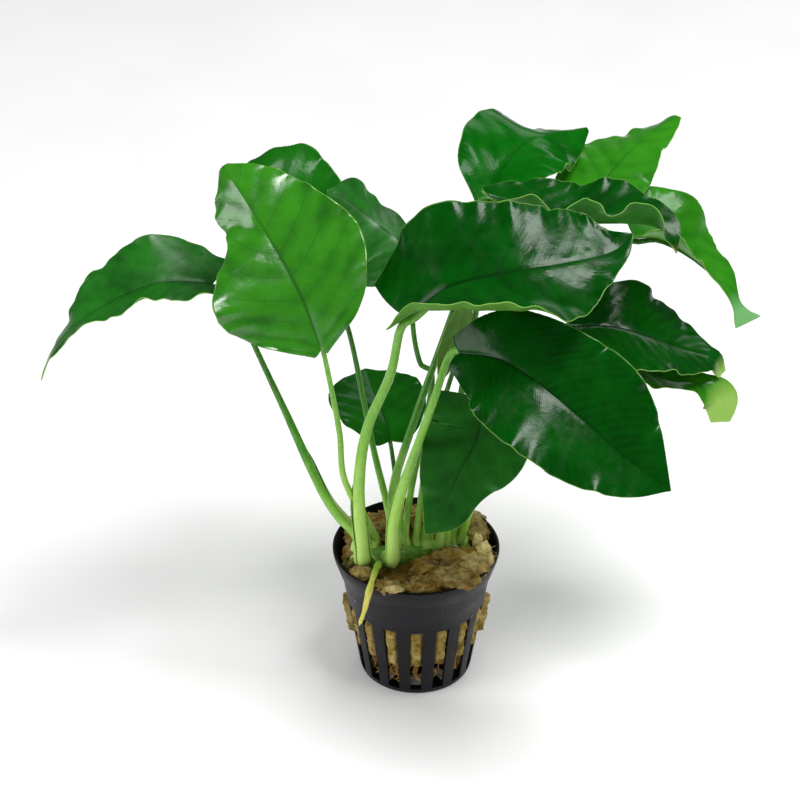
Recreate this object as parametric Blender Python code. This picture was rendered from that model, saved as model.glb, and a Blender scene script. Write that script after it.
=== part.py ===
"""Potted anubias in a slotted nursery pot.

Metres, +Z up, the origin at the centre of the pot's underside. The side of the plant that faces the
viewer looks along -Y, and +X is to the viewer's right. Lengths in the tables below are millimetres and
angles are degrees.
"""

import math
from dataclasses import dataclass

import bmesh
import bpy
from mathutils import Vector, noise

MM = 0.001

# Gap between pieces that touch, and the distance at which points count as one
GAP = 0.3
MERGE = 0.001

# Steps in which a smooth curve is measured
SPLINE_STEPS = 200

# Pot
SLOT_COUNT = 16
POT_SEGMENTS = 4 * SLOT_COUNT
POT_HEIGHT = 48.0
RIM_RADIUS = 27.5
COLLAR_FOOT_RADIUS = 25.4
COLLAR_FOOT_HEIGHT = 39.5
BODY_TOP_RADIUS = 24.7
BASE_RADIUS = 18.7
BASE_CHAMFER = 0.7
EDGE = 0.3
WALL = 1.0
FLOOR = 1.3
SLOT_BOTTOM = 2.0
SLOT_TOP = 28.5
DRAIN_INNER_RADIUS = 8.5
DRAIN_OUTER_RADIUS = 15.5
DRAIN_COUNT = 8

# Wool plug
WOOL_BOTTOM = 11.0
WOOL_TOP = 44.5
WOOL_SEGMENTS = 32
WOOL_LUMP = 1.1
WOOL_CORNER = 2.0
# Raised places of the wool: x, y, spread and height
WOOL_MOUNDS = ((12.0, -14.0, 8.0, 2.6), (15.0, 15.0, 8.0, 2.2), (-2.0, -17.0, 5.0, 1.2))

# Rhizome: its centre line from its left end to its right end
RHIZOME_LINE = ((-20.5, -5.5, 47.0), (-13.5, -6.0, 47.0), (-6.5, -4.0, 46.0),
                (2.0, -0.8, 44.8), (10.5, 1.4, 44.0), (17.5, 3.6, 43.8))
RHIZOME_RADIUS = 3.9
RHIZOME_TAPER = 0.12
RHIZOME_END = 0.06
RHIZOME_POINTS = 25
RHIZOME_SIDES = 10
TROUGH_SIDES = 12

# Leaves
BLADE_THICKNESS = 0.5
BLADE_ROWS = 11
BLADE_COLUMNS = 4
ROW_CROWDING = 0.07
COLUMN_CROWDING = 0.75
VEIN_SWEEP = 0.16
PETIOLE_POINTS = 11
PETIOLE_SIDES = 6
PETIOLE_START = 3.5
PETIOLE_CROWDING = 1.4


# Where each leaf's widths are given, from its base to its tip
WIDTH_STATIONS = (0.0, 0.12, 0.35, 0.6, 0.82, 1.0)


@dataclass(frozen=True)
class Leaf:
    """One leaf. Its halves are named as seen from above with the tip pointing away."""

    name: str
    midrib: tuple         # points from the base of the blade to its tip
    facing: tuple         # (yaw, lift) of the upper face from base to tip: yaw 0 looks at the viewer
    left_width: tuple     # from the midrib to the left margin at the stations above
    right_width: tuple    # the same for the right half
    left: tuple           # (rise, curl) of the left half from base to tip
    right: tuple          # (rise, curl) of the right half
    waves: tuple          # (count, phase, left degrees, right degrees) of the wavy margin
    root: tuple           # (station along the rhizome from 0 to 1, lean towards the viewer) of the petiole
    route: tuple          # points that the petiole passes on its way up
    stalk: tuple          # radius of the petiole at its foot and at its top
    lobe: float = 0.06    # how far the lobes reach back past the petiole, as a share of the length


LEAVES = (
    Leaf("far_left",
         midrib=((-63.5, 9.0, 141.0), (-77.0, 8.0, 142.5), (-88.0, 5.0, 140.5), (-98.5, 2.0, 136.0),
                 (-107.0, -2.0, 131.0), (-113.5, -5.0, 123.5), (-117.0, -6.5, 115.5)),
         facing=((0, 85), (0, 85), (-60, 60)),
         left_width=(9.0, 13.0, 14.0, 6.0, 3.0, 0.0),
         right_width=(10.0, 15.5, 17.0, 11.0, 3.8, 0.0),
         left=((10, 0), (14, 0), (14, 5), (18, 10), (30, 20)),
         right=((18, 0), (25, 0), (10, 0), (-28, 0), (-30, -20)),
         waves=(3.0, 0.21, 20, 8),
         root=(0.045, -10), route=((-29.5, -5.0, 71.0), (-43.4, 2.0, 102.8), (-55.9, 8.0, 131.5)),
         stalk=(2.1, 0.7)),
    Leaf("left_front",
         midrib=((-29.0, -20.0, 134.8), (-35.5, -15.0, 151.5), (-47.0, -4.0, 168.5), (-55.0, 5.0, 177.5),
                 (-59.0, 12.0, 180.0)),
         facing=((0, 35), (0, 40), (0, 50)),
         left_width=(3.0, 18.0, 26.0, 12.5, 12.0, 2.0),
         right_width=(1.5, 15.0, 25.0, 20.0, 12.5, 2.0),
         left=((5, 0), (8, 0), (8, 0), (-40, 0), (-40, 0)),
         right=((15, 0), (8, 0), (8, 0), (0, 0), (0, 0)),
         waves=(3.0, 0.1, 10, 10),
         root=(0.16, -28), route=((-22.8, -10.0, 79.9), (-24.3, -13.0, 101.1)),
         stalk=(1.3, 0.8), lobe=0.03),
    Leaf("left_back",
         midrib=((-26.6, 24.0, 130.2), (-37.2, 34.0, 148.1), (-49.3, 42.0, 162.5), (-54.8, 47.0, 163.5)),
         facing=((0, 50), (0, 50), (0, 60)),
         left_width=(8.0, 16.0, 20.0, 17.0, 10.0, 1.0),
         right_width=(8.0, 16.0, 18.0, 19.0, 17.0, 3.0),
         left=((8, 0), (8, 0), (8, 0)),
         right=((8, 0), (8, 0), (-5, 0)),
         waves=(3.0, 0.4, 8, 8),
         root=(0.34, -35), route=((-9.9, 8.0, 60.1), (-14.2, 13.5, 78.0), (-21.1, 22.0, 113.2)),
         stalk=(1.3, 0.8)),
    Leaf("left_inner",
         midrib=((-1.5, 20.0, 142.7), (-6.6, 24.0, 149.0), (-13.2, 28.5, 152.3), (-22.4, 31.5, 159.1),
                 (-28.2, 33.0, 161.6)),
         facing=((32, 50), (32, 50), (20, 50)),
         left_width=(12.0, 20.0, 20.0, 16.0, 11.0, 0.0),
         right_width=(7.0, 11.5, 14.5, 14.0, 11.0, 0.0),
         left=((-20, 0), (-20, 0), (-20, 0)),
         right=((-40, 0), (-33, 0), (-20, 0)),
         waves=(3.0, 0.4, 8, 8),
         root=(0.46, -35), route=((-1.7, 8.0, 63.7), (5.0, 12.0, 103.0), (1.1, 13.0, 110.0),
                                    (-1.2, 15.0, 122.7)),
         stalk=(1.2, 0.8)),
    Leaf("small_back",
         midrib=((-8.5, 19.0, 76.5), (-10.0, 26.0, 79.0), (-13.7, 39.0, 81.6), (-17.3, 54.0, 83.0)),
         facing=((0, 80), (0, 80), (0, 80)),
         left_width=(5.5, 11.5, 16.5, 15.5, 9.5, 0.0),
         right_width=(5.5, 11.5, 16.0, 15.0, 9.0, 0.0),
         left=((10, 0), (10, 0), (5, 0)),
         right=((10, 0), (10, 0), (5, 0)),
         waves=(2.0, 0.4, 4, 4),
         root=(0.40, -10), route=((-6.9, 12.0, 67.0),),
         stalk=(1.1, 0.7)),
    Leaf("centre_large",
         midrib=((-3.8, -24.0, 148.0), (9.3, -26.0, 159.5), (28.5, -26.0, 164.6), (45.6, -23.0, 166.3),
                 (57.6, -18.0, 167.0), (63.5, -14.0, 170.8)),
         facing=((0, 90), (0, 90), (0, 80)),
         left_width=(16.0, 26.0, 25.0, 20.5, 15.0, 0.0),
         right_width=(3.0, 14.0, 24.5, 22.5, 8.5, 0.0),
         left=((36, 0), (38, 0), (34, 0), (24, 0), (24, 0)),
         right=((15, 40), (-15, 95), (-25, 80), (-30, 20), (-5, 0)),
         waves=(3.0, 0.54, 4, 12),
         root=(0.09, 48), route=((-18.4, -10.0, 77.6), (-15.6, -14.0, 101.8), (-8.3, -18.0, 124.2)),
         stalk=(2.3, 1.3), lobe=0.08),
    Leaf("top_left",
         midrib=((22.4, 21.8, 164.2), (26.6, 29.0, 170.4), (31.8, 36.7, 173.9), (40.0, 44.6, 174.6),
                 (54.5, 53.0, 173.6)),
         facing=((51, 66), (51, 66), (51, 66)),
         left_width=(4.0, 13.0, 18.0, 18.5, 10.0, 1.0),
         right_width=(6.0, 12.0, 17.0, 15.5, 10.0, 1.5),
         left=((6, 0), (6, 0), (-5, 0), (-38, 0), (-50, 0)),
         right=((40, 0), (25, 0), (15, 0), (-10, 0), (-10, 0)),
         waves=(3.0, 0.4, 6, 10),
         root=(0.31, 15), route=((-7.6, -3.0, 71.2), (-1.8, 0.0, 92.7), (9.4, 10.0, 124.0),
                                   (17.9, 16.5, 148.5)),
         stalk=(1.6, 0.9)),
    Leaf("top_right",
         midrib=((51.0, 28.5, 158.3), (59.0, 36.5, 163.0), (64.8, 43.5, 166.3), (71.3, 50.5, 169.6),
                 (83.7, 59.5, 174.9)),
         facing=((40, 80), (40, 80), (40, 80)),
         left_width=(8.0, 14.0, 17.0, 14.5, 11.0, 3.0),
         right_width=(8.0, 13.0, 13.0, 10.0, 7.0, 2.5),
         left=((0, 0), (0, 0), (-10, 0), (-33, 0), (-40, 0)),
         right=((0, 0), (0, 0), (0, 0), (10, 0), (10, 0)),
         waves=(2.5, 0.4, 6, 10),
         root=(0.87, -10), route=((20.0, 9.0, 80.0), (28.0, 16.0, 115.0), (42.0, 23.0, 148.0)),
         stalk=(1.3, 0.9)),
    Leaf("upper_edge",
         midrib=((22.6, 8.0, 171.2), (37.2, 6.0, 167.5), (50.7, 4.0, 165.8), (62.7, 2.0, 166.2),
                 (73.0, -1.0, 165.7), (77.9, -6.0, 159.9)),
         facing=((0, 90), (0, 90), (0, 80)),
         left_width=(3.0, 11.0, 14.0, 16.0, 7.5, 0.0),
         right_width=(6.0, 10.0, 12.5, 13.0, 9.0, 0.0),
         left=((20, 0), (22, 0), (25, 0), (18, 0), (15, 0)),
         right=((36, 0), (40, 0), (46, 0), (54, 0), (60, 0)),
         waves=(3.3, 0.32, 12, 40),
         root=(0.79, 5), route=((13.0, 8.0, 90.0), (18.5, 9.0, 131.0), (21.0, 9.0, 158.0)),
         stalk=(1.3, 0.9)),
    Leaf("right_arching",
         midrib=((68.8, 28.0, 147.0), (75.8, 28.0, 147.3), (83.1, 27.0, 144.3), (89.9, 25.0, 140.0),
                 (94.5, 22.0, 136.3), (99.0, 18.0, 132.0), (104.0, 12.0, 125.0)),
         facing=((0, 90), (0, 90), (30, 30)),
         left_width=(12.0, 17.0, 15.0, 8.5, 2.5, 6.0),
         right_width=(12.0, 17.0, 12.0, 3.0, 1.5, 4.5),
         left=((50, 0), (45, 0), (5, 0), (-10, 0), (0, 0)),
         right=((33, 0), (33, 0), (33, 0), (30, 0), (0, 0)),
         waves=(2.5, 0.4, 12, 10),
         root=(0.97, -20), route=((23.0, 11.0, 80.0), (42.0, 16.0, 112.0), (62.0, 24.0, 138.0)),
         stalk=(1.1, 0.9)),
    Leaf("right_middle",
         midrib=((48.0, 6.0, 127.4), (61.0, 6.0, 127.2), (73.5, 5.0, 123.8), (85.7, 4.0, 119.5),
                 (93.3, 3.0, 117.5), (96.1, 2.0, 112.4)),
         facing=((0, 90), (0, 90), (0, 80)),
         left_width=(10.0, 13.0, 20.0, 17.5, 7.0, 2.5),
         right_width=(8.0, 15.0, 18.0, 15.0, 8.0, 2.5),
         left=((24, 0), (28, 0), (15, 0), (-2, 0), (-5, 0)),
         right=((-10, 0), (-10, 0), (-5, 0), (0, 0), (10, 0)),
         waves=(2.5, 0.4, 14, 10),
         root=(0.63, -10), route=((9.0, 0.0, 80.0), (28.0, 2.0, 110.0), (43.0, 5.0, 123.0)),
         stalk=(2.0, 1.0)),
    Leaf("right_lower",
         midrib=((57.5, 4.0, 120.0), (69.4, 3.0, 114.5), (79.7, 1.0, 111.0), (89.5, -1.0, 110.3),
                 (95.5, -3.0, 106.5), (96.0, -5.0, 99.0)),
         facing=((0, 85), (0, 85), (10, 15)),
         left_width=(7.0, 12.0, 13.5, 4.5, 5.6, 3.0),
         right_width=(6.0, 9.5, 9.5, 4.0, 6.2, 3.4),
         left=((15, 0), (15, 0), (15, 0), (0, 0), (0, 0)),
         right=((14, 0), (14, 0), (14, 0), (0, 0), (0, 0)),
         waves=(2.5, 0.4, 8, 8),
         root=(0.93, 12), route=((24.0, 1.0, 82.0), (44.0, 3.0, 112.0)),
         stalk=(1.2, 0.8)),
    Leaf("front_large",
         midrib=((12.2, -29.0, 138.6), (20.6, -34.0, 140.5), (27.8, -39.0, 140.0), (42.0, -49.0, 133.6),
                 (61.4, -58.0, 119.4), (73.6, -61.0, 110.9)),
         facing=((5, 38), (8, 38), (12, 40)),
         left_width=(5.0, 14.0, 20.0, 20.5, 12.0, 0.0),
         right_width=(5.0, 15.5, 20.5, 18.5, 11.2, 0.0),
         left=((8, 0), (8, 0), (8, 0)),
         right=((8, 0), (8, 0), (8, 0)),
         waves=(3.0, 0.4, 8, 8),
         root=(0.26, 60), route=((-7.2, -12.0, 66.0), (-3.1, -18.5, 87.8), (4.4, -27.5, 119.4)),
         stalk=(2.1, 1.1), lobe=0.03),
    Leaf("front_drooping",
         midrib=((19.4, -14.0, 113.5), (19.4, -17.0, 107.0), (18.2, -20.0, 101.9), (12.9, -26.0, 93.7),
                 (8.0, -31.0, 84.4), (2.4, -35.0, 76.7)),
         facing=((0, 32), (0, 32), (0, 32)),
         left_width=(16.0, 17.0, 16.0, 10.0, 7.0, 0.0),
         right_width=(15.0, 17.0, 15.5, 11.0, 5.5, 0.0),
         left=((5, 0), (5, 0), (5, 0)),
         right=((5, 0), (5, 0), (5, 0)),
         waves=(2.5, 0.4, 10, 10),
         root=(0.71, 25), route=((10.0, -4.0, 75.0), (17.0, -8.0, 104.0)),
         stalk=(1.6, 0.9)),
    Leaf("inner_hanging",
         midrib=((15.1, 4.0, 138.0), (13.1, 3.0, 129.0), (10.3, 1.0, 121.0), (6.6, -1.0, 110.2)),
         facing=((20, 10), (20, 10), (20, 10)),
         left_width=(2.0, 3.0, 4.5, 4.0, 2.0, 0.0),
         right_width=(2.0, 3.0, 4.5, 4.0, 2.0, 0.0),
         left=((5, 0), (5, 0), (5, 0)),
         right=((5, 0), (5, 0), (5, 0)),
         waves=(1.5, 0.4, 4, 4),
         root=(0.54, -15), route=((4.0, 6.0, 80.0), (14.0, 9.0, 120.0)),
         stalk=(1.1, 0.7)),
)

# Root that hangs over the front of the rim
RIM_ROOT_LINE = ((-12.0, -12.0, 49.0), (-12.8, -17.0, 50.8), (-14.0, -22.8, 50.9), (-15.4, -25.9, 47.0),
                 (-16.8, -25.9, 40.0), (-18.6, -25.2, 33.5))
RIM_ROOT_RADII = (1.1, 0.5)
# Roots in the bottom of the pot: where each leaves the wool and where it reaches the floor
BOTTOM_ROOTS = (
    ((-8.0, -13.5), (-4.0, -15.0)),
    ((1.0, -12.0), (3.5, -15.5)),
    ((11.0, -9.0), (13.5, -8.0)),
    ((-13.0, 5.0), (-14.5, 2.0)),
    ((6.0, 12.0), (2.0, 14.5)),
)
BOTTOM_ROOT_RADIUS = 0.6
BOTTOM_ROOT_TOP = 7.8
BOTTOM_ROOT_BEND = 1.5
BOTTOM_ROOT_POINTS = 7
ROOT_POINTS = 12
ROOT_SIDES = 6

# Colours as linear RGB
BLACK_PLASTIC = (0.016, 0.016, 0.019)
WOOL_BROWN = (0.36, 0.25, 0.07)
LEAF_GREEN = (0.01, 0.14, 0.01)
YOUNG_GREEN = (0.04, 0.28, 0.01)
STALK_GREEN = (0.24, 0.50, 0.06)
RHIZOME_GREEN = (0.10, 0.32, 0.03)
ROOT_YELLOW = (0.50, 0.50, 0.10)
ROOT_BROWN = (0.35, 0.16, 0.03)
YOUNG_LEAVES = ("left_front", "right_arching", "top_right")


def material(name, colour, roughness):
    """Returns a material with one Principled shader."""
    finish = bpy.data.materials.new(name)
    finish.use_nodes = True
    shader = finish.node_tree.nodes["Principled BSDF"]
    shader.inputs["Base Color"].default_value = (*colour, 1.0)
    shader.inputs["Roughness"].default_value = roughness
    shader.inputs["Metallic"].default_value = 0.0
    finish.diffuse_color = (*colour, 1.0)
    return finish


def finish_mesh(name, bm, finish):
    """Turns a bmesh in millimetres into a named object in metres."""
    bmesh.ops.scale(bm, vec=(MM, MM, MM), verts=bm.verts)
    mesh = bpy.data.meshes.new(name)
    bm.to_mesh(mesh)
    bm.free()
    mesh.shade_smooth()
    mesh.set_sharp_from_angle(angle=math.radians(40))
    mesh.materials.append(finish)
    obj = bpy.data.objects.new(name, mesh)
    bpy.context.scene.collection.objects.link(obj)
    return obj


def spline_point(points, position):
    """Returns the point of a smooth curve through the given points, at 0 to 1 of its spans."""
    spans = len(points) - 1
    place = min(max(position, 0.0), 1.0) * spans
    index = min(int(place), spans - 1)
    t = place - index
    p1, p2 = points[index], points[index + 1]
    p0 = points[index - 1] if index > 0 else 2 * p1 - p2
    p3 = points[index + 2] if index + 2 <= spans else 2 * p2 - p1
    return 0.5 * (2 * p1 + (p2 - p0) * t + (2 * p0 - 5 * p1 + 4 * p2 - p3) * t ** 2
                  + (3 * p1 - p0 - 3 * p2 + p3) * t ** 3)


def smooth_path(points, count, crowding=1.0):
    """Returns points on the smooth curve through the given ones, evenly spaced or crowded to its start."""
    points = [Vector(p) for p in points]
    fine = [spline_point(points, i / SPLINE_STEPS) for i in range(SPLINE_STEPS + 1)]
    lengths = [0.0]
    for a, b in zip(fine, fine[1:]):
        lengths.append(lengths[-1] + (b - a).length)
    path = []
    index = 0
    for i in range(count):
        target = lengths[-1] * (i / (count - 1)) ** crowding
        while index < SPLINE_STEPS - 1 and lengths[index + 1] < target:
            index += 1
        span = lengths[index + 1] - lengths[index]
        path.append(fine[index].lerp(fine[index + 1], (target - lengths[index]) / span))
    return path


def blend(values, position):
    """Eases between values that are evenly spaced from base to tip."""
    place = min(max(position, 0.0), 1.0) * (len(values) - 1)
    index = min(int(place), len(values) - 2)
    t = place - index
    t = t * t * (3 - 2 * t)
    return tuple(a + (b - a) * t for a, b in zip(values[index], values[index + 1]))


def width_at(widths, u):
    """Returns a width between the stations, on a smooth curve through the given ones."""
    slopes = [(b - a) / (v - w) for a, b, w, v in
              zip(widths, widths[1:], WIDTH_STATIONS, WIDTH_STATIONS[1:])]
    tangents = [slopes[0], *((a + b) / 2 for a, b in zip(slopes, slopes[1:])), slopes[-1]]
    index = 0
    while index < len(slopes) - 1 and u > WIDTH_STATIONS[index + 1]:
        index += 1
    span = WIDTH_STATIONS[index + 1] - WIDTH_STATIONS[index]
    t = (u - WIDTH_STATIONS[index]) / span
    near = (1 + 2 * t) * (1 - t) ** 2 * widths[index] + t * (1 - t) ** 2 * span * tangents[index]
    far = t * t * (3 - 2 * t) * widths[index + 1] + t * t * (t - 1) * span * tangents[index + 1]
    return max(near + far, 0.0)


def direction(yaw, lift):
    """Returns the direction of a face: yaw 0 looks at the viewer, lift 90 looks straight up."""
    yaw, lift = math.radians(yaw), math.radians(lift)
    return Vector((math.sin(yaw) * math.cos(lift), -math.cos(yaw) * math.cos(lift), math.sin(lift)))


class Blade:
    """The surface of one leaf: a curved midrib with a folded, curled and wavy half on each side."""

    STEPS = 80
    ACROSS = 16
    LOBE_LENGTH = 0.3
    WAVE_SHIFT = 0.35

    def __init__(self, leaf):
        self.leaf = leaf
        self.line = smooth_path(leaf.midrib, self.STEPS + 1)
        self.length = sum((b - a).length for a, b in zip(self.line, self.line[1:]))

    def frame(self, x):
        """Returns the place, the run, the right hand and the upward normal of the midrib at x."""
        place = min(max(x, 0.0), 1.0) * self.STEPS
        index = min(int(place), self.STEPS - 1)
        point = self.line[index].lerp(self.line[index + 1], place - index)
        before = self.line[max(index - 2, 0)]
        after = self.line[min(index + 3, self.STEPS)]
        run = (after - before).normalized()
        if x < 0:
            point = self.line[0] + run * x * self.length
        face = direction(*blend(self.leaf.facing, x))
        normal = (face - run * face.dot(run)).normalized()
        return point, run, run.cross(normal), normal

    def point(self, u, s):
        """Returns the point on the vein that leaves the midrib at u, from -1 to 1 across."""
        leaf = self.leaf
        side = abs(s)
        backward = leaf.lobe * max(1 - u / self.LOBE_LENGTH, 0.0) ** 2 * math.sin(side * math.pi / 2)
        forward = VEIN_SWEEP * u * (1 - u) * side ** 1.5
        x = u - backward + forward
        middle, run, right, normal = self.frame(x)
        outward = right if s > 0 else -right
        rise, curl = blend(leaf.right if s > 0 else leaf.left, x)
        count, phase, left_wave, right_wave = leaf.waves
        if s > 0:
            wave = right_wave * math.sin(2 * math.pi * (count * x + phase + self.WAVE_SHIFT))
        else:
            wave = left_wave * math.sin(2 * math.pi * (count * x + phase))
        width = width_at(leaf.right_width if s > 0 else leaf.left_width, u)
        point = middle.copy()
        step = side / self.ACROSS
        for i in range(self.ACROSS):
            t = (i + 0.5) * step
            angle = math.radians(rise + (curl + wave) * t * t)
            point += (outward * math.cos(angle) + normal * math.sin(angle)) * width * step
        return point

    def under(self, x, depth):
        """Returns the point at a depth below the midrib."""
        middle, _, _, normal = self.frame(x)
        return middle - normal * depth


def build_blade(leaf, finish):
    """One leaf blade: a grid laid on the surface, thickened."""
    blade = Blade(leaf)
    bm = bmesh.new()
    bmesh.ops.create_grid(bm, x_segments=BLADE_COLUMNS, y_segments=BLADE_ROWS, size=1.0)
    for vert in bm.verts:
        s = math.copysign(abs(vert.co.x) ** COLUMN_CROWDING, vert.co.x)
        row = (1 + vert.co.y) / 2
        vert.co = blade.point(row - ROW_CROWDING * math.sin(2 * math.pi * row), s)
    bmesh.ops.remove_doubles(bm, verts=bm.verts, dist=0.05)
    obj = finish_mesh("leaf_" + leaf.name, bm, finish)
    thick = obj.modifiers.new("Thickness", "SOLIDIFY")
    thick.thickness = BLADE_THICKNESS * MM
    thick.offset = 0.0
    return obj


def rhizome_radius(position):
    """Radius of the rhizome, which is blunt at both ends and a little thinner on the right."""
    end = min(position, 1 - position) / RHIZOME_END
    return RHIZOME_RADIUS * (1 - RHIZOME_TAPER * position) * math.sqrt(1 - 0.75 * max(1 - end, 0.0) ** 2)


def tube(name, points, radii, sides, finish):
    """A round rod along a path, closed at both ends."""
    bm = bmesh.new()
    rings = []
    across = Vector((0.0, -1.0, 0.0))
    for i, (centre, radius) in enumerate(zip(points, radii)):
        run = (points[min(i + 1, len(points) - 1)] - points[max(i - 1, 0)]).normalized()
        across = (across - run * across.dot(run)).normalized()
        other = run.cross(across)
        ring = []
        for k in range(sides):
            turn = 2 * math.pi * k / sides
            ring.append(bm.verts.new(centre + (across * math.cos(turn) + other * math.sin(turn)) * radius))
        rings.append(ring)
    for near, far in zip(rings, rings[1:]):
        for k in range(sides):
            bm.faces.new((near[k], near[(k + 1) % sides], far[(k + 1) % sides], far[k]))
    bm.faces.new(reversed(rings[0]))
    bm.faces.new(rings[-1])
    return finish_mesh(name, bm, finish)


def build_petiole(leaf, rhizome, finish):
    """The stalk from the rhizome to the underside of the blade's base."""
    blade = Blade(leaf)
    station, lean = leaf.root
    foot, top = leaf.stalk
    index = min(int(station * (len(rhizome) - 1)), len(rhizome) - 2)
    centre = rhizome[index].lerp(rhizome[index + 1], station * (len(rhizome) - 1) - index)
    along = (rhizome[index + 1] - rhizome[index]).normalized()
    out = direction(0, 90 - lean)
    out = (out - along * out.dot(along)).normalized()
    start = centre + out * (rhizome_radius(station) + 1.3 * GAP)
    depth = BLADE_THICKNESS / 2 + GAP + top
    route = [start, start + out * PETIOLE_START, *leaf.route]
    route += [blade.under(-0.05, depth + GAP), blade.under(0.03, depth)]
    points = smooth_path(route, PETIOLE_POINTS, PETIOLE_CROWDING)
    places = [(i / (PETIOLE_POINTS - 1)) ** PETIOLE_CROWDING for i in range(PETIOLE_POINTS)]
    radii = [top + (foot - top) * (1 - place) ** 1.5 for place in places]
    return tube("petiole_" + leaf.name, points, radii, PETIOLE_SIDES, finish)


def wall_radius(z):
    """Outer radius of the pot's straight wall at a height."""
    return BASE_RADIUS + (BODY_TOP_RADIUS - BASE_RADIUS) * z / COLLAR_FOOT_HEIGHT


def wool_radius(z):
    """Radius of the wool at a height, a gap away from the inside of the pot's wall."""
    return wall_radius(z) - WALL - GAP


def turn_from_front(point):
    """Angle of a point round the pot's axis, from the front."""
    return math.degrees(math.atan2(point.x, -point.y))


def open_window(bm, low, high, centre, half_turn):
    """Cuts one window through both skins and closes its sides. low and high are (radius, height)."""
    doomed = []
    for face in bm.faces:
        middle = face.calc_center_median()
        radius = math.hypot(middle.x, middle.y)
        away = (turn_from_front(middle) - centre + 180) % 360 - 180
        if low[0] < radius < high[0] and low[1] < middle.z < high[1] and abs(away) < half_turn:
            doomed.append(face)
    bmesh.ops.delete(bm, geom=doomed, context="FACES")
    rims = [edge for edge in bm.edges if edge.is_boundary]
    bmesh.ops.bridge_loops(bm, edges=rims)


def build_pot(finish):
    """The pot: one turned shell with slots in its wall and drains in its floor."""
    seam = wall_radius(COLLAR_FOOT_HEIGHT)
    profile = [
        (0.0, 0.0), (DRAIN_INNER_RADIUS, 0.0), (DRAIN_OUTER_RADIUS, 0.0),
        (BASE_RADIUS - BASE_CHAMFER, 0.0), (BASE_RADIUS, BASE_CHAMFER),
        (wall_radius(SLOT_BOTTOM), SLOT_BOTTOM), (wall_radius(SLOT_TOP), SLOT_TOP),
        (seam, COLLAR_FOOT_HEIGHT), (COLLAR_FOOT_RADIUS, COLLAR_FOOT_HEIGHT + EDGE),
        (RIM_RADIUS, POT_HEIGHT - EDGE), (RIM_RADIUS - EDGE, POT_HEIGHT), (RIM_RADIUS - WALL, POT_HEIGHT),
        (seam - WALL + EDGE, COLLAR_FOOT_HEIGHT),
        (wall_radius(SLOT_TOP) - WALL, SLOT_TOP), (wall_radius(SLOT_BOTTOM) - WALL, SLOT_BOTTOM),
        (DRAIN_OUTER_RADIUS, FLOOR), (DRAIN_INNER_RADIUS, FLOOR), (0.0, FLOOR),
    ]
    bm = bmesh.new()
    verts = [bm.verts.new((0.0, -radius, height)) for radius, height in profile]
    edges = [bm.edges.new(pair) for pair in zip(verts, verts[1:])]
    bmesh.ops.spin(bm, geom=verts + edges, cent=(0, 0, 0), axis=(0, 0, 1), angle=2 * math.pi,
                   steps=POT_SEGMENTS, use_merge=True, use_duplicate=False)
    bmesh.ops.remove_doubles(bm, verts=bm.verts, dist=MERGE)
    inside_foot = BASE_RADIUS - 2 * WALL
    drain = (DRAIN_INNER_RADIUS, -FLOOR), (DRAIN_OUTER_RADIUS, 2 * FLOOR)
    for k in range(SLOT_COUNT):
        turn = k * 360 / SLOT_COUNT
        open_window(bm, (inside_foot, SLOT_BOTTOM), (RIM_RADIUS, SLOT_TOP), turn, 90 / SLOT_COUNT)
    for k in range(DRAIN_COUNT):
        turn = k * 360 / DRAIN_COUNT
        open_window(bm, *drain, turn, 90 / DRAIN_COUNT)
    bmesh.ops.recalc_face_normals(bm, faces=bm.faces)
    return finish_mesh("net_pot", bm, finish)


def lump(point, size):
    """Smooth unevenness of the wool, from about -1 to 1."""
    return noise.noise(Vector(point) / size)


def wool_height(x, y):
    """How much the top of the wool rises above its level at a place."""
    rise = WOOL_LUMP * lump((x, y, WOOL_TOP), 7.0)
    for middle_x, middle_y, spread, height in WOOL_MOUNDS:
        rise += height * math.exp(-((x - middle_x) ** 2 + (y - middle_y) ** 2) / spread ** 2)
    return rise


def build_wool(rhizome, finish):
    """The wool plug, uneven on top and below, with a trough where the rhizome lies."""
    bm = bmesh.new()
    middle = (WOOL_BOTTOM + WOOL_TOP) / 2
    shoulder = wool_radius(WOOL_TOP - WOOL_CORNER)
    foot = wool_radius(WOOL_BOTTOM + WOOL_CORNER)
    profile = [(0.0, WOOL_BOTTOM), (foot - WOOL_CORNER, WOOL_BOTTOM), (foot, WOOL_BOTTOM + WOOL_CORNER),
               (wool_radius(middle), middle), (shoulder, WOOL_TOP - WOOL_CORNER),
               (shoulder - WOOL_CORNER / 2, WOOL_TOP)]
    profile += [(shoulder * share, WOOL_TOP) for share in (0.7, 0.45, 0.2, 0.0)]
    verts = [bm.verts.new((0.0, -radius, height)) for radius, height in profile]
    edges = [bm.edges.new(pair) for pair in zip(verts, verts[1:])]
    bmesh.ops.spin(bm, geom=verts + edges, cent=(0, 0, 0), axis=(0, 0, 1), angle=2 * math.pi,
                   steps=WOOL_SEGMENTS, use_merge=True, use_duplicate=False)
    bmesh.ops.remove_doubles(bm, verts=bm.verts, dist=MERGE)
    bmesh.ops.recalc_face_normals(bm, faces=bm.faces)
    for vert in bm.verts:
        if vert.co.z > WOOL_TOP - WOOL_CORNER / 2:
            vert.co.z += wool_height(vert.co.x, vert.co.y)
        elif vert.co.z < WOOL_BOTTOM + WOOL_CORNER / 2:
            vert.co.z += 2 * WOOL_LUMP * lump(vert.co, 9.0)
    wool = finish_mesh("rockwool", bm, finish)
    radii = [rhizome_radius(i / (len(rhizome) - 1)) + GAP for i in range(len(rhizome))]
    cutter = tube("rhizome_trough", rhizome, radii, TROUGH_SIDES, finish)
    cutter.hide_render = True
    cutter.display_type = "WIRE"
    trough = wool.modifiers.new("Trough", "BOOLEAN")
    trough.object = cutter
    trough.operation = "DIFFERENCE"
    trough.solver = "EXACT"
    return wool


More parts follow.
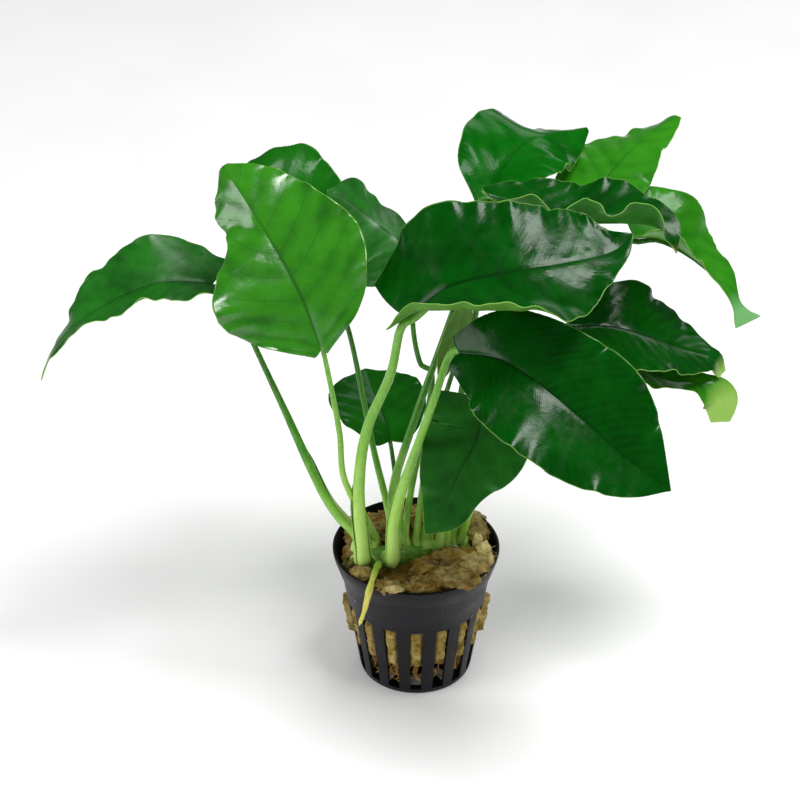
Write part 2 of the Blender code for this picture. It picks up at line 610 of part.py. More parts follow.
def build_roots(green, brown):
    """The root over the rim and the roots in the bottom of the pot."""
    line = smooth_path(RIM_ROOT_LINE, ROOT_POINTS)
    first, last = RIM_ROOT_RADII
    radii = [last + (first - last) * (1 - (i / (ROOT_POINTS - 1)) ** 3) for i in range(ROOT_POINTS)]
    tube("root_over_rim", line, radii, ROOT_SIDES, green)
    for number, (upper, lower) in enumerate(BOTTOM_ROOTS, start=1):
        high = Vector((*upper, BOTTOM_ROOT_TOP))
        low = Vector((*lower, FLOOR + BOTTOM_ROOT_RADIUS + GAP))
        knee = high.lerp(low, 0.5) + Vector((BOTTOM_ROOT_BEND, 0.0, 0.0))
        line = smooth_path((high, knee, low), BOTTOM_ROOT_POINTS)
        radii = [BOTTOM_ROOT_RADIUS] * BOTTOM_ROOT_POINTS
        tube("root_bottom_" + str(number), line, radii, ROOT_SIDES, brown)


def main():
    """Clears the scene and builds every piece."""
    for obj in list(bpy.data.objects):
        bpy.data.objects.remove(obj, do_unlink=True)
    leaf_green = material("leaf_green", LEAF_GREEN, 0.35)
    young_green = material("young_leaf_green", YOUNG_GREEN, 0.35)
    stalk_green = material("stalk_green", STALK_GREEN, 0.45)
    rhizome = smooth_path(RHIZOME_LINE, RHIZOME_POINTS)
    build_pot(material("black_plastic", BLACK_PLASTIC, 0.5))
    build_wool(rhizome, material("mineral_wool", WOOL_BROWN, 0.95))
    radii = [rhizome_radius(i / (len(rhizome) - 1)) for i in range(len(rhizome))]
    tube("rhizome", rhizome, radii, RHIZOME_SIDES, material("rhizome_green", RHIZOME_GREEN, 0.5))
    for leaf in LEAVES:
        build_blade(leaf, young_green if leaf.name in YOUNG_LEAVES else leaf_green)
        build_petiole(leaf, rhizome, stalk_green)
    build_roots(material("young_root", ROOT_YELLOW, 0.5), material("old_root", ROOT_BROWN, 0.6))


main()
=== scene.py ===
"""Looks of the potted anubias: leaves, stalks, creeping stem, wool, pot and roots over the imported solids.

Metres, +Z up, the origin at the centre of the pot's underside. The viewer's side looks along -Y and +X is
to the viewer's right. Lengths in the tables are millimetres and angles are degrees.
"""

import logging
import random
from dataclasses import dataclass, replace
from enum import Enum
from math import atan2, copysign, cos, degrees, exp, hypot, pi, radians, sin, sqrt
from typing import Any, Callable, Iterable, Sequence

import bmesh
import bpy
from mathutils import Matrix, Vector, noise


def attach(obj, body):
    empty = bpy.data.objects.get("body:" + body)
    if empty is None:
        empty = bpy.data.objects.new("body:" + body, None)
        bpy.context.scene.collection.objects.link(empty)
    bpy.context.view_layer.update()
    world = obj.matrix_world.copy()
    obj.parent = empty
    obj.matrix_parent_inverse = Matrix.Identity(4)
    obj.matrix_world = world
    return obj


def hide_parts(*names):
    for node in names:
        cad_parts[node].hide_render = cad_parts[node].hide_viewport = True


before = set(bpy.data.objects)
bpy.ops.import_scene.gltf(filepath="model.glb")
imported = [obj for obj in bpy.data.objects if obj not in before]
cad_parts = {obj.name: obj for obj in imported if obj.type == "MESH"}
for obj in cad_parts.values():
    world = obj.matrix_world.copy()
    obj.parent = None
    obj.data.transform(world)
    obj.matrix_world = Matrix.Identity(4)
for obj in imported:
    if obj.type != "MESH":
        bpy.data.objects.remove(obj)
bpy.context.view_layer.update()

LOG = logging.getLogger("potted_anubias")
MM = 0.001
TURN = 2 * pi
BODY = "root"

GAP = 0.3
MERGE = 0.001
SPLINE_STEPS = 200
SHARP_ANGLE = 40.0
WIDTH_STATIONS = (0.0, 0.12, 0.35, 0.6, 0.82, 1.0)

Edge, Face, Shape, Vert = bmesh.types.BMEdge, bmesh.types.BMFace, bmesh.types.BMesh, bmesh.types.BMVert
Material, Node, Piece = bpy.types.Material, bpy.types.Node, bpy.types.Object
Socket, Tree = bpy.types.NodeSocket, bpy.types.NodeTree
Colour = tuple[float, float, float, float]
Pair = tuple[float, float]
Triple = tuple[float, float, float]

# A Mix node has a set of sockets for each kind of value, and they are told apart by number only.
COLOUR_A, COLOUR_B, COLOUR_OUT = 6, 7, 2
NUMBER_A, NUMBER_B = 2, 3


class Tone(Enum):
    """Ages of a leaf, from old and dark to the yellow-green of one that has hung in the shade."""

    DEEP = "deep"
    DUSKY = "dusky"
    FRESH = "fresh"
    MIDDLE = "middle"
    YOUNG = "young"
    GLOSSY = "glossy"
    OLIVE = "olive"


class Tip(Enum):
    """What the far end of a leaf looks like. The bluish end is a painted sheen of white light on a green
    tip.
    """

    SAME = "same"
    PALE = "pale"
    BLUISH_SHEEN = "bluish"
    BROWN = "brown"


def linear(code: str) -> Colour:
    """Turns an sRGB colour into linear values.

    Args:
        code: Six hex digits after a hash sign.

    Returns:
        Red, green, blue and an alpha of 1.
    """
    parts = [int(code[i:i + 2], 16) / 255 for i in (1, 3, 5)]
    red, green, blue = (p / 12.92 if p <= 0.04045 else ((p + 0.055) / 1.055) ** 2.4 for p in parts)
    return red, green, blue, 1.0


def wire(tree: Tree, node: Node, links: Any = (), values: Any = ()) -> None:
    """Feeds the inputs of a node.

    Args:
        tree: The node's tree.
        node: The node.
        links: What feeds each input, by the input's name or number, or else what feeds the first one.
        values: Values of unlinked inputs, by name or number, or else a tuple for the second and onwards.
    """
    if isinstance(links, (Node, Socket)):
        links = {0: links}
    if isinstance(values, tuple):
        values = dict(enumerate(values, start=1))
    for key, value in values.items():
        node.inputs[key].default_value = value
    for key, source in dict(links).items():
        tree.links.new(source if isinstance(source, Socket) else source.outputs[0], node.inputs[key])


def add_node(tree: Tree, kind: str, links: Any = (), values: Any = (),
             stops: Sequence[tuple[float, str]] = (), **settings: Any) -> Node:
    """Adds a shader node with its settings and links.

    Args:
        tree: Node tree that gets the node.
        kind: Node type without its ShaderNode prefix.
        links: As for wire.
        values: As for wire.
        stops: Positions and hex colours of a colour ramp.
        settings: The node's own properties.

    Returns:
        The new node.
    """
    node = tree.nodes.new("ShaderNode" + kind)
    for name, value in settings.items():
        setattr(node, name, value)
    wire(tree, node, links, values)
    for index, (position, code) in enumerate(stops):
        ramp = node.color_ramp.elements
        stop = ramp[index] if index < 2 else ramp.new(position)
        stop.position = position
        stop.color = linear(code)
    return node


def new_material(name: str) -> tuple[Material, Tree, Node, Socket]:
    """Starts a material.

    Args:
        name: What the real material is and how its surface was made.

    Returns:
        The material, its node tree, its Principled shader and its Object coordinates.
    """
    material = bpy.data.materials.new(name)
    material.use_nodes = True
    tree = material.node_tree
    return material, tree, tree.nodes["Principled BSDF"], add_node(tree, "TexCoord").outputs["Object"]


def per_metre(size: float) -> float:
    """Returns the noise scale that gives spots of a size in millimetres."""
    return 1 / (size * MM)


@dataclass(frozen=True)
class LeafSkin:
    """Living leaf skin under a wax layer, wet: a glossy face, softly ribbed between its side veins, with a
    painted sheen in lighter green on the swells between them.
    """

    name: str
    deep: str
    light: str
    vein: str
    tip: str = ""
    tip_from: float = 0.8
    tip_fade: float = 0.14
    margin: str = "#7fae50"
    rough: Pair = (0.12, 0.3)
    shine: float = 0.2
    ior: float = 1.45
    rib_sheen: float = 0.35
    vein_show: float = 0.3
    fine_veins: int = 4
    relief: float = 0.3
    patch: float = 11.0
    damp: float = 4.0
    # The cells of the skin are far under 0.1 mm wide and are drawn coarser so that they show.
    cell: float = 2.2

    def build(self) -> Material:
        """Makes the material.

        Returns:
            A material that reads the attributes along, across and vein of a blade.
        """
        material, tree, shader, place = new_material(self.name)
        along, across, vein = (add_node(tree, "Attribute", attribute_name=name).outputs["Fac"]
                               for name in ("along", "across", "vein"))
        patches = add_node(tree, "TexNoise", place,
                           {"Scale": per_metre(self.patch), "Detail": 4.0, "Roughness": 0.6})
        colour = add_node(tree, "ValToRGB", patches, stops=((0.35, self.deep), (0.68, self.light)))
        turn = add_node(tree, "Math", vein, (pi,), operation="MULTIPLY")
        wave = add_node(tree, "Math", turn, operation="SINE")
        hill = add_node(tree, "Math", wave, operation="ABSOLUTE")
        side = add_node(tree, "Math", across, operation="ABSOLUTE")
        middle = add_node(tree, "MapRange", side, (0.012, 0.04, 0.75, 0.0))
        fading = add_node(tree, "MapRange", along, (0.3, 1.0, 1.0, 0.25))
        ridge = add_node(tree, "Math", {0: middle, 1: fading}, operation="MULTIPLY")
        tip_end = min(self.tip_from + self.tip_fade, 1.0)
        # The first coat is a painted sheen: the light green laid on the crests of the swells between the
        # side veins.
        coats = ((self.light, hill, (0.45, 1.0, 0.0, self.rib_sheen)),
                 (self.vein, hill, (0.0, 0.12, self.vein_show, 0.0)),
                 (self.vein, ridge, (0.0, 1.0, 0.0, 1.0)),
                 (self.tip, along, (self.tip_from, tip_end, 0.0, 0.92)),
                 (self.margin, side, (0.982, 1.0, 0.0, 0.6)))
        for code, source, span in coats:
            if code:
                where = add_node(tree, "MapRange", source, span)
                colour = add_node(tree, "Mix", {"Factor": where, COLOUR_A: colour},
                                  {COLOUR_B: linear(code)}, data_type="RGBA").outputs[COLOUR_OUT]
        damp = add_node(tree, "TexNoise", place,
                        {"Scale": per_metre(self.damp), "Detail": 5.0, "Roughness": 0.7})
        rough = add_node(tree, "MapRange", damp, (0.35, 0.65, *self.rough))
        fine_turn = add_node(tree, "Math", vein, (self.fine_veins * TURN,), operation="MULTIPLY")
        fine = add_node(tree, "Math", fine_turn, operation="SINE")
        cells = add_node(tree, "TexNoise", place, {"Scale": per_metre(self.cell), "Detail": 2.0})
        height = add_node(tree, "Math", {0: fine, 2: cells}, (0.03,), operation="MULTIPLY_ADD")
        bump = add_node(tree, "Bump", {"Height": height}, {"Strength": self.relief, "Distance": 0.2 * MM})
        wire(tree, shader, {"Base Color": colour, "Roughness": rough, "Normal": bump},
             {"IOR": self.ior, "Specular IOR Level": self.shine})
        return material


@dataclass(frozen=True)
class GrownSkin:
    """Skin of a stalk, stem or root: satin, streaked along its growth, in a run of colours to its tip."""

    name: str
    run: tuple[tuple[float, str], ...]
    streak: str
    streak_share: float = 0.4
    # The strands under the skin are about 0.2 mm wide and are drawn coarser so that they show.
    streak_width: float = 0.8
    stretch: float = 0.07
    rough: Pair = (0.2, 0.36)
    ior: float = 1.42
    relief: float = 0.2
    cloud: float = 6.0
    fleck: str = ""
    fleck_size: float = 2.0

    def build(self) -> Material:
        """Makes the material.

        Returns:
            A material that reads the attribute along.
        """
        material, tree, shader, place = new_material(self.name)
        along = add_node(tree, "Attribute", attribute_name="along").outputs["Fac"]
        cloud = add_node(tree, "TexNoise", place, {"Scale": per_metre(self.cloud), "Detail": 2.0})
        shift = add_node(tree, "MapRange", cloud, (0.0, 1.0, -0.12, 0.12))
        spot = add_node(tree, "Math", {0: along, 1: shift}, operation="ADD")
        colour = add_node(tree, "ValToRGB", spot, stops=self.run)
        drawn = add_node(tree, "Mapping", place, {"Scale": (1.0, 1.0, self.stretch)})
        streaks = add_node(tree, "TexNoise", drawn, {"Scale": per_metre(self.streak_width), "Detail": 3.0})
        coats = [(self.streak, streaks, (0.42, 0.72, 0.0, self.streak_share))]
        if self.fleck:
            spots = add_node(tree, "TexNoise", place,
                             {"Scale": per_metre(self.fleck_size), "Detail": 3.0, "Roughness": 0.7})
            coats.append((self.fleck, spots, (0.58, 0.7, 0.0, 0.8)))
        for code, source, span in coats:
            where = add_node(tree, "MapRange", source, span)
            colour = add_node(tree, "Mix", {"Factor": where, COLOUR_A: colour}, {COLOUR_B: linear(code)},
                              data_type="RGBA").outputs[COLOUR_OUT]
        rough = add_node(tree, "MapRange", cloud, (0.3, 0.7, *self.rough))
        bump = add_node(tree, "Bump", {"Height": streaks}, {"Strength": self.relief, "Distance": 0.25 * MM})
        wire(tree, shader, {"Base Color": colour, "Roughness": rough, "Normal": bump}, {"IOR": self.ior})
        return material


@dataclass(frozen=True)
class SpunWool:
    """Spun mineral wool, torn and wet: matt felted threads, pale where torn and brown where soaked, with
    painted shade in the hollows of its clumps and threads and painted light on the crests of its clumps.
    """

    name: str = "mineral_wool_spun_wet"
    dark: str = "#50461a"
    body: str = "#a48e42"
    pale: str = "#dccb8e"
    soaked: str = "#bfa636"
    shade: str = "#a08850"
    clump: float = 5.0
    # Spun fibres are about 0.01 mm thick and are drawn coarser so that they show.
    thread: float = 0.45
    dry_level: float = 38.0
    wet_level: float = 43.0

    def build(self) -> Material:
        """Makes the material.

        Returns:
            A material that reads the attribute torn, which is high on torn places.
        """
        material, tree, shader, place = new_material(self.name)
        torn = add_node(tree, "Attribute", attribute_name="torn").outputs["Fac"]
        clumps = add_node(tree, "TexNoise", place,
                          {"Scale": per_metre(self.clump), "Detail": 5.0, "Roughness": 0.65})
        drawn = add_node(tree, "Mapping", place, {"Scale": (0.35, 1.0, 0.8)})
        threads = add_node(tree, "TexNoise", drawn,
                           {"Scale": per_metre(self.thread), "Detail": 4.0, "Roughness": 0.7})
        # The clump colours follow the clumps' bump: the felt's own mottle, with painted shade in its
        # hollows and painted light on its crests.
        colour = add_node(tree, "ValToRGB", clumps,
                          stops=((0.32, self.dark), (0.7, self.pale), (0.48, self.body)))
        # The thread grain is painted shade between the threads, darkest where their bump is lowest.
        grain = add_node(tree, "ValToRGB", threads, stops=((0.35, self.shade), (0.7, "#ffffff")))
        # The mix below holds the felt's mottle and the painted shade between its clumps and threads.
        worn_and_shaded = add_node(tree, "Mix", {COLOUR_A: colour, COLOUR_B: grain}, {"Factor": 0.7},
                        data_type="RGBA", blend_type="MULTIPLY").outputs[COLOUR_OUT]
        level = add_node(tree, "SeparateXYZ", place).outputs["Z"]
        wet = add_node(tree, "MapRange", level, (self.dry_level * MM, self.wet_level * MM, 0.0, 0.9))
        soaked = add_node(tree, "Mix", {"Factor": wet, COLOUR_A: worn_and_shaded}, {COLOUR_B: linear(self.soaked)},
                          data_type="RGBA", blend_type="MULTIPLY").outputs[COLOUR_OUT]
        last = add_node(tree, "Mix", {"Factor": torn, COLOUR_A: soaked}, {COLOUR_B: linear(self.pale)},
                        data_type="RGBA").outputs[COLOUR_OUT]
        both = add_node(tree, "Math", {0: clumps, 2: threads}, (1.5,), operation="MULTIPLY_ADD")
        bump = add_node(tree, "Bump", {"Height": both}, {"Strength": 0.9, "Distance": 0.4 * MM})
        rough = add_node(tree, "MapRange", clumps, (0.3, 0.6, 0.62, 0.95))
        wire(tree, shader, {"Base Color": last, "Roughness": rough, "Normal": bump},
             {"Specular IOR Level": 0.2})
        return material


@dataclass(frozen=True)
class MouldedPlastic:
    """Black polypropylene, moulded with a fine texture and wet: a soft sheen with darker drops on it."""

    name: str = "polypropylene_moulded_black"
    body: str = "#07060b"
    worn_and_shaded: str = "#121119"
    drop: str = "#050506"
    film: float = 9.0
    drop_spacing: float = 4.5
    drop_bend: float = 2.0
    waver: float = 1.5
    # The mould's texture is about 0.1 mm wide and is drawn coarser so that it shows.
    grain: float = 0.35

    def build(self) -> Material:
        """Makes the material.

        Returns:
            The pot's material.
        """
        material, tree, shader, place = new_material(self.name)
        film = add_node(tree, "TexNoise", place,
                        {"Scale": per_metre(self.film), "Detail": 5.0, "Roughness": 0.6})
        colour = add_node(tree, "ValToRGB", film, stops=((0.35, self.body), (0.7, self.worn_and_shaded)))
        uneven = add_node(tree, "TexNoise", place, {"Scale": per_metre(self.waver), "Detail": 2.0})
        bent = add_node(tree, "VectorMath", {0: uneven.outputs["Color"], 2: place},
                        ((self.drop_bend * MM,) * 3,), operation="MULTIPLY_ADD")
        drops = add_node(tree, "TexVoronoi", bent, {"Scale": per_metre(self.drop_spacing)})
        bead = add_node(tree, "MapRange", drops.outputs["Distance"], (0.14, 0.2, 1.0, 0.0))
        spotted = add_node(tree, "Mix", {"Factor": bead, COLOUR_A: colour},
                           {COLOUR_B: linear(self.drop)}, data_type="RGBA").outputs[COLOUR_OUT]
        rough = add_node(tree, "MapRange", film, (0.3, 0.7, 0.34, 0.52))
        wet = add_node(tree, "Mix", {"Factor": bead, NUMBER_A: rough}, {NUMBER_B: 0.12})
        grain = add_node(tree, "TexNoise", place, {"Scale": per_metre(self.grain)})
        both = add_node(tree, "Math", {0: grain, 2: bead}, (0.12,), operation="MULTIPLY_ADD")
        bump = add_node(tree, "Bump", {"Height": both}, {"Strength": 0.6, "Distance": 0.35 * MM})
        wire(tree, shader, {"Base Color": spotted, "Roughness": wet, "Normal": bump},
             {"IOR": 1.49, "Specular IOR Level": 0.22})
        return material


@dataclass(frozen=True)
class StudioFloor:
    """Pale painted board: matt and almost even."""

    name: str = "board_painted_white"
    paint: tuple[str, str] = ("#f4f4f4", "#f9f9f9")
    cloud: float = 80.0

    def build(self) -> Material:
        """Makes the material.

        Returns:
            The floor's material.
        """
        material, tree, shader, place = new_material(self.name)
        cloud = add_node(tree, "TexNoise", place, {"Scale": per_metre(self.cloud)})
        colour = add_node(tree, "ValToRGB", cloud, stops=((0.3, self.paint[0]), (0.7, self.paint[1])))
        wire(tree, shader, {"Base Color": colour}, {"Roughness": 0.9})
        return material


UPPER_SKINS = {
    Tone.DEEP: LeafSkin("leaf_wax_deep", "#013503", "#014806", "#012604", rib_sheen=0.3, vein_show=0.2),
    Tone.DUSKY: LeafSkin("leaf_wax_dusky", "#0c4a0b", "#1a6813", "#083c08", rib_sheen=0.2, vein_show=0.2,
                         rough=(0.28, 0.42), shine=0.35),
    Tone.FRESH: LeafSkin("leaf_wax_fresh", "#024a05", "#0a600b", "#034808", rib_sheen=0.2, vein_show=0.25,
                         shine=0.1),
    Tone.MIDDLE: LeafSkin("leaf_wax_middle", "#0c4e0b", "#17660e", "#0c480a", rib_sheen=0.25, shine=0.13),
    Tone.YOUNG: LeafSkin("leaf_wax_young", "#1f680c", "#2f7f14", "#195a0b", rib_sheen=0.45, vein_show=0.45),
    Tone.GLOSSY: LeafSkin("leaf_wax_young_wet", "#1a6005", "#2d7e0b", "#164f08", rib_sheen=0.6, vein_show=0.5,
                          rough=(0.16, 0.3), shine=0.8),
    Tone.OLIVE: LeafSkin("leaf_wax_olive", "#3c681a", "#557f28", "#446f20"),
}
UNDER_SKINS = {
    Tone.MIDDLE: LeafSkin("leaf_back_green", "#1a5c0c", "#2a7414", "#40902a", rough=(0.4, 0.55)),
    Tone.DEEP: LeafSkin("leaf_back_matt", "#3f781c", "#528628", "#6ca044", rough=(0.45, 0.6)),
    Tone.YOUNG: LeafSkin("leaf_back_young", "#46921e", "#5ca82e", "#7cb850", rough=(0.45, 0.6)),
}
# The bluish tip colour is a painted sheen: pale grey-blue laid on the far end of a green leaf.
TIP_COLOURS = {Tip.PALE: "#93bb58", Tip.BLUISH_SHEEN: "#6aa364", Tip.BROWN: "#6a4a1c"}
MARGIN_SKIN = LeafSkin("leaf_margin_pale", "#5f9030", "#86b058", "#7fae50", rough=(0.4, 0.55))
STALK_SKINS = {
    True: GrownSkin("stalk_skin_pale",
                    ((0.0, "#b8dc72"), (1.0, "#4a921e"), (0.2, "#a2d058"), (0.45, "#74b032")),
                    "#c4e488", streak_share=0.22, streak_width=0.55),
    False: GrownSkin("stalk_skin_green",
                     ((0.0, "#b4da70"), (1.0, "#1c5c0e"), (0.12, "#84be3e"), (0.32, "#3f851a"),
                      (0.6, "#256a10")), "#9ccc60", streak_share=0.22, streak_width=0.55),
}
SHEATH_SKIN = GrownSkin("stalk_sheath_membrane",
                        ((0.0, "#a8cc66"), (1.0, "#98804c"), (0.7, "#b8c878")), "#d4e0a4", fleck="#8f7444",
                        fleck_size=1.5)
STEM_SKIN = GrownSkin("creeping_stem_skin",
                      ((0.0, "#6a9c2a"), (1.0, "#5e8a2c"), (0.5, "#548820")), "#98c25c",
                      streak_width=1.6, stretch=1.0, fleck="#6a6024", fleck_size=3.5, streak_share=0.5)
NODULE_SKIN = GrownSkin("root_bud_pale", ((0.0, "#8fbf70"), (1.0, "#b8d6a0")), "#78b050")
RIM_ROOT_SKIN = GrownSkin("aerial_root_skin",
                          ((0.0, "#6aa82c"), (1.0, "#cfc24a"), (0.35, "#9fb63a"), (0.6, "#c9c04c")),
                          "#e3dc84", fleck="#8f9a34", fleck_size=1.5)
OLD_ROOT_SKIN = GrownSkin("feeding_root_bark",
                          ((0.0, "#7a4a14"), (1.0, "#d8c898"), (0.4, "#a8741e"), (0.75, "#b08a30")),
                          "#5a3208", streak_width=1.0, stretch=1.0)


def to_object(name: str, bm: Shape, materials: Iterable[Material]) -> Piece:
    """Turns a bmesh in millimetres into an object in metres.

    Args:
        name: Name of the piece.
        bm: Its shape, which is freed.
        materials: Its materials, in the order of the faces' material numbers.

    Returns:
        The linked object, smooth-shaded with sharp corners kept.
    """
    bmesh.ops.scale(bm, vec=(MM, MM, MM), verts=bm.verts)
    mesh = bpy.data.meshes.new(name)
    bm.to_mesh(mesh)
    bm.free()
    mesh.shade_smooth()
    mesh.set_sharp_from_angle(angle=radians(SHARP_ANGLE))
    for material in materials:
        mesh.materials.append(material)
    piece = bpy.data.objects.new(name, mesh)
    bpy.context.scene.collection.objects.link(piece)
    return piece


def hand_over(piece: Piece, node: str) -> None:
    """Puts a piece in the place of a node and reports it.

    Args:
        piece: The finished piece.
        node: The node that it stands for.
    """
    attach(piece, BODY)
    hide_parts(node)
    LOG.info("%s stands for %s with %d faces", piece.name, node, len(piece.data.polygons))


def spline_point(points: Sequence[Vector], position: float) -> Vector:
    """Finds a point of the smooth curve through the given points.

    Args:
        points: Points that the curve passes.
        position: Place along its spans, from 0 to 1.

    Returns:
        The point there.
    """
    spans = len(points) - 1
    place = min(max(position, 0.0), 1.0) * spans
    index = min(int(place), spans - 1)
    t = place - index
    p1, p2 = points[index], points[index + 1]
    p0 = points[index - 1] if index > 0 else 2 * p1 - p2
    p3 = points[index + 2] if index + 2 <= spans else 2 * p2 - p1
    return 0.5 * (2 * p1 + (p2 - p0) * t + (2 * p0 - 5 * p1 + 4 * p2 - p3) * t ** 2
                  + (3 * p1 - p0 - 3 * p2 + p3) * t ** 3)


def smooth_path(points: Sequence[Triple | Vector], count: int) -> list[Vector]:
    """Walks the smooth curve through the given points in even steps.

    Args:
        points: Points that the curve passes.
        count: How many points to return.

    Returns:
        Evenly spaced points from the first to the last.
    """
    given = [Vector(p) for p in points]
    fine = [spline_point(given, i / SPLINE_STEPS) for i in range(SPLINE_STEPS + 1)]
    lengths = [0.0]
    for a, b in zip(fine, fine[1:]):
        lengths.append(lengths[-1] + (b - a).length)
    path = []
    index = 0
    for i in range(count):
        target = lengths[-1] * i / (count - 1)
        while index < SPLINE_STEPS - 1 and lengths[index + 1] < target:
            index += 1
        span = lengths[index + 1] - lengths[index]
        path.append(fine[index].lerp(fine[index + 1], (target - lengths[index]) / span))
    return path


def ease(values: Sequence[Sequence[float]], position: float) -> tuple[float, ...]:
    """Eases between values that are evenly spaced from base to tip.

    Args:
        values: The given values, or one that holds everywhere.
        position: Place among them, from 0 to 1.

    Returns:
        The values there.
    """
    if len(values) == 1:
        return tuple(values[0])
    place = min(max(position, 0.0), 1.0) * (len(values) - 1)
    index = min(int(place), len(values) - 2)
    t = step_up(place, index, index + 1)
    return tuple(a + (b - a) * t for a, b in zip(values[index], values[index + 1]))


def step_up(value: float, low: float, high: float) -> float:
    """Returns how far a value has risen from low to high, eased, from 0 to 1."""
    t = min(max((value - low) / (high - low), 0.0), 1.0)
    return t * t * (3 - 2 * t)


def rough_at(point: Sequence[float], size: float) -> float:
    """Returns smooth unevenness at a place, from about -1 to 1, with lumps of a size."""
    return noise.noise(Vector(point) / size)


def turn_profile(bm: Shape, profile: Iterable[Pair], segments: int) -> list[Vert]:
    """Turns an outline about the upright axis and closes its seam and poles.

    Args:
        bm: Shape that gets the turned skin.
        profile: Radius and height of each corner, from pole to pole.
        segments: Steps of the full turn.

    Returns:
        The points of the skin.
    """
    old = set(bm.verts)
    verts = [bm.verts.new((0.0, -radius, height)) for radius, height in profile]
    edges = [bm.edges.new(pair) for pair in zip(verts, verts[1:])]
    bmesh.ops.spin(bm, geom=verts + edges, cent=(0, 0, 0), axis=(0, 0, 1), angle=TURN,
                   steps=segments, use_merge=True, use_duplicate=False)
    bmesh.ops.remove_doubles(bm, verts=[vert for vert in bm.verts if vert not in old], dist=MERGE)
    return [vert for vert in bm.verts if vert not in old]


def shift_along_normals(bm: Shape, height_at: Callable[[Vert], float]) -> None:
    """Moves every point of a shape along its normal.

    Args:
        bm: The shape.
        height_at: Gives how far a point moves, from the shape before any point has moved.
    """
    bm.normal_update()
    moves = [vert.normal * height_at(vert) for vert in bm.verts]
    for vert, move in zip(bm.verts, moves):
        vert.co += move


def facing_direction(yaw: float, lift: float) -> Vector:
    """Finds where a face looks.

    Args:
        yaw: 0 looks at the viewer and 90 to the viewer's right.
        lift: 90 looks straight up.

    Returns:
        A direction of length 1.
    """
    yaw, lift = radians(yaw), radians(lift)
    return Vector((sin(yaw) * cos(lift), -cos(yaw) * cos(lift), sin(lift)))


class Tube:
    """A round rod that follows a path: a circle drawn along it in rings."""

    def __init__(self, points: Sequence[Vector], radii: Sequence[float], sides: int) -> None:
        """Finds the frame of each ring.

        Args:
            points: Centres of the rings.
            radii: Radius at each ring.
            sides: Sides of the circle.
        """
        self.points = points
        self.radii = radii
        self.sides = sides
        self.frames: list[Matrix] = []
        across = Vector((0.0, -1.0, 0.0))
        for i, (centre, radius) in enumerate(zip(points, radii)):
            run = (points[min(i + 1, len(points) - 1)] - points[max(i - 1, 0)]).normalized()
            across = (across - run * across.dot(run)).normalized()
            other = run.cross(across)
            turn = Matrix((across * radius, other * radius, run)).transposed().to_4x4()
            self.frames.append(Matrix.Translation(centre) @ turn)

    def grow(self, bm: Shape, material: int = 0, start: float = 0.0, end: float = 1.0) -> None:
        """Adds the rod to a shape, closed at both ends.

        Args:
            bm: Shape that gets it.
            material: Material number of its faces.
            start: Value of the attribute along at its first ring.
            end: The same at its last ring.
        """
        layer = bm.verts.layers.float.get("along") or bm.verts.layers.float.new("along")
        ring = bmesh.ops.create_circle(bm, cap_ends=True, segments=self.sides, radius=1.0,
                                       matrix=self.frames[0])["verts"]
        for vert in ring:
            vert[layer] = start
        edges = list(dict.fromkeys(edge for vert in ring for edge in vert.link_edges))
        for face in dict.fromkeys(face for edge in edges for face in edge.link_faces):
            face.material_index = material
            face.normal_flip()
        for i, (last, new) in enumerate(zip(self.frames, self.frames[1:]), start=1):
            made = bmesh.ops.extrude_edge_only(bm, edges=edges)["geom"]
            ring = [item for item in made if isinstance(item, Vert)]
            edges = [item for item in made if isinstance(item, Edge)
                     and all(vert in ring for vert in item.verts)]
            bmesh.ops.transform(bm, matrix=new @ last.inverted(), verts=ring)
            for vert in ring:
                vert[layer] = start + (end - start) * i / (len(self.frames) - 1)
            for item in made:
                if isinstance(item, Face):
                    item.material_index = material
        for face in bmesh.ops.contextual_create(bm, geom=edges)["faces"]:
            face.material_index = material


@dataclass(frozen=True)
class Sheath:
    """The thin membrane that clasps the lower part of a stalk and ends in a free tip."""

    low: float = 0.03
    high: float = 0.3
    turn: float = 180.0
    wrap: float = 130.0
    flare: float = 0.5
    tip_out: float = 1.2
    rows: int = 26
    columns: int = 8
    thickness: float = 0.24
    clearance: float = 1.05
    edge_lift: float = 0.45
    uneven: float = 0.06

    def wrap_round(self, bm: Shape, tube: Tube, material: int) -> None:
        """Adds the membrane to a stalk.

        Args:
            bm: Shape of the stalk.
            tube: The rod that it clasps.
            material: Material number of its faces.
        """
        layer = bm.verts.layers.float["along"]
        old = set(bm.faces)
        made = bmesh.ops.create_grid(bm, x_segments=self.columns, y_segments=self.rows, size=1.0)["verts"]
        for vert in made:
            side, t = vert.co.x, (1 + vert.co.y) / 2
            place = (self.low + (self.high - self.low) * t) * (len(tube.frames) - 1)
            index = min(int(place), len(tube.frames) - 2)
            here = tube.frames[index].lerp(tube.frames[index + 1], place - index)
            radius = tube.radii[index]
            angle = radians(self.turn + side * self.wrap * (1 - t ** 2.5))
            lift = self.edge_lift * self.flare * side ** 4 * sin(pi * t) + self.tip_out * t ** 6
            out = self.clearance + (self.uneven + lift) / radius
            wobble = self.uneven * rough_at((side * 3, t * 9, self.turn), 1.0)
            vert.co = here @ Vector((cos(angle) * (out + wobble), sin(angle) * (out + wobble), 0.0))
            vert[layer] = t
        faces = [face for face in bm.faces if face not in old]
        bmesh.ops.recalc_face_normals(bm, faces=faces)
        made_faces = bmesh.ops.solidify(bm, geom=faces, thickness=self.thickness)["geom"]
        for face in [*faces, *(item for item in made_faces if isinstance(item, Face))]:
            face.material_index = material


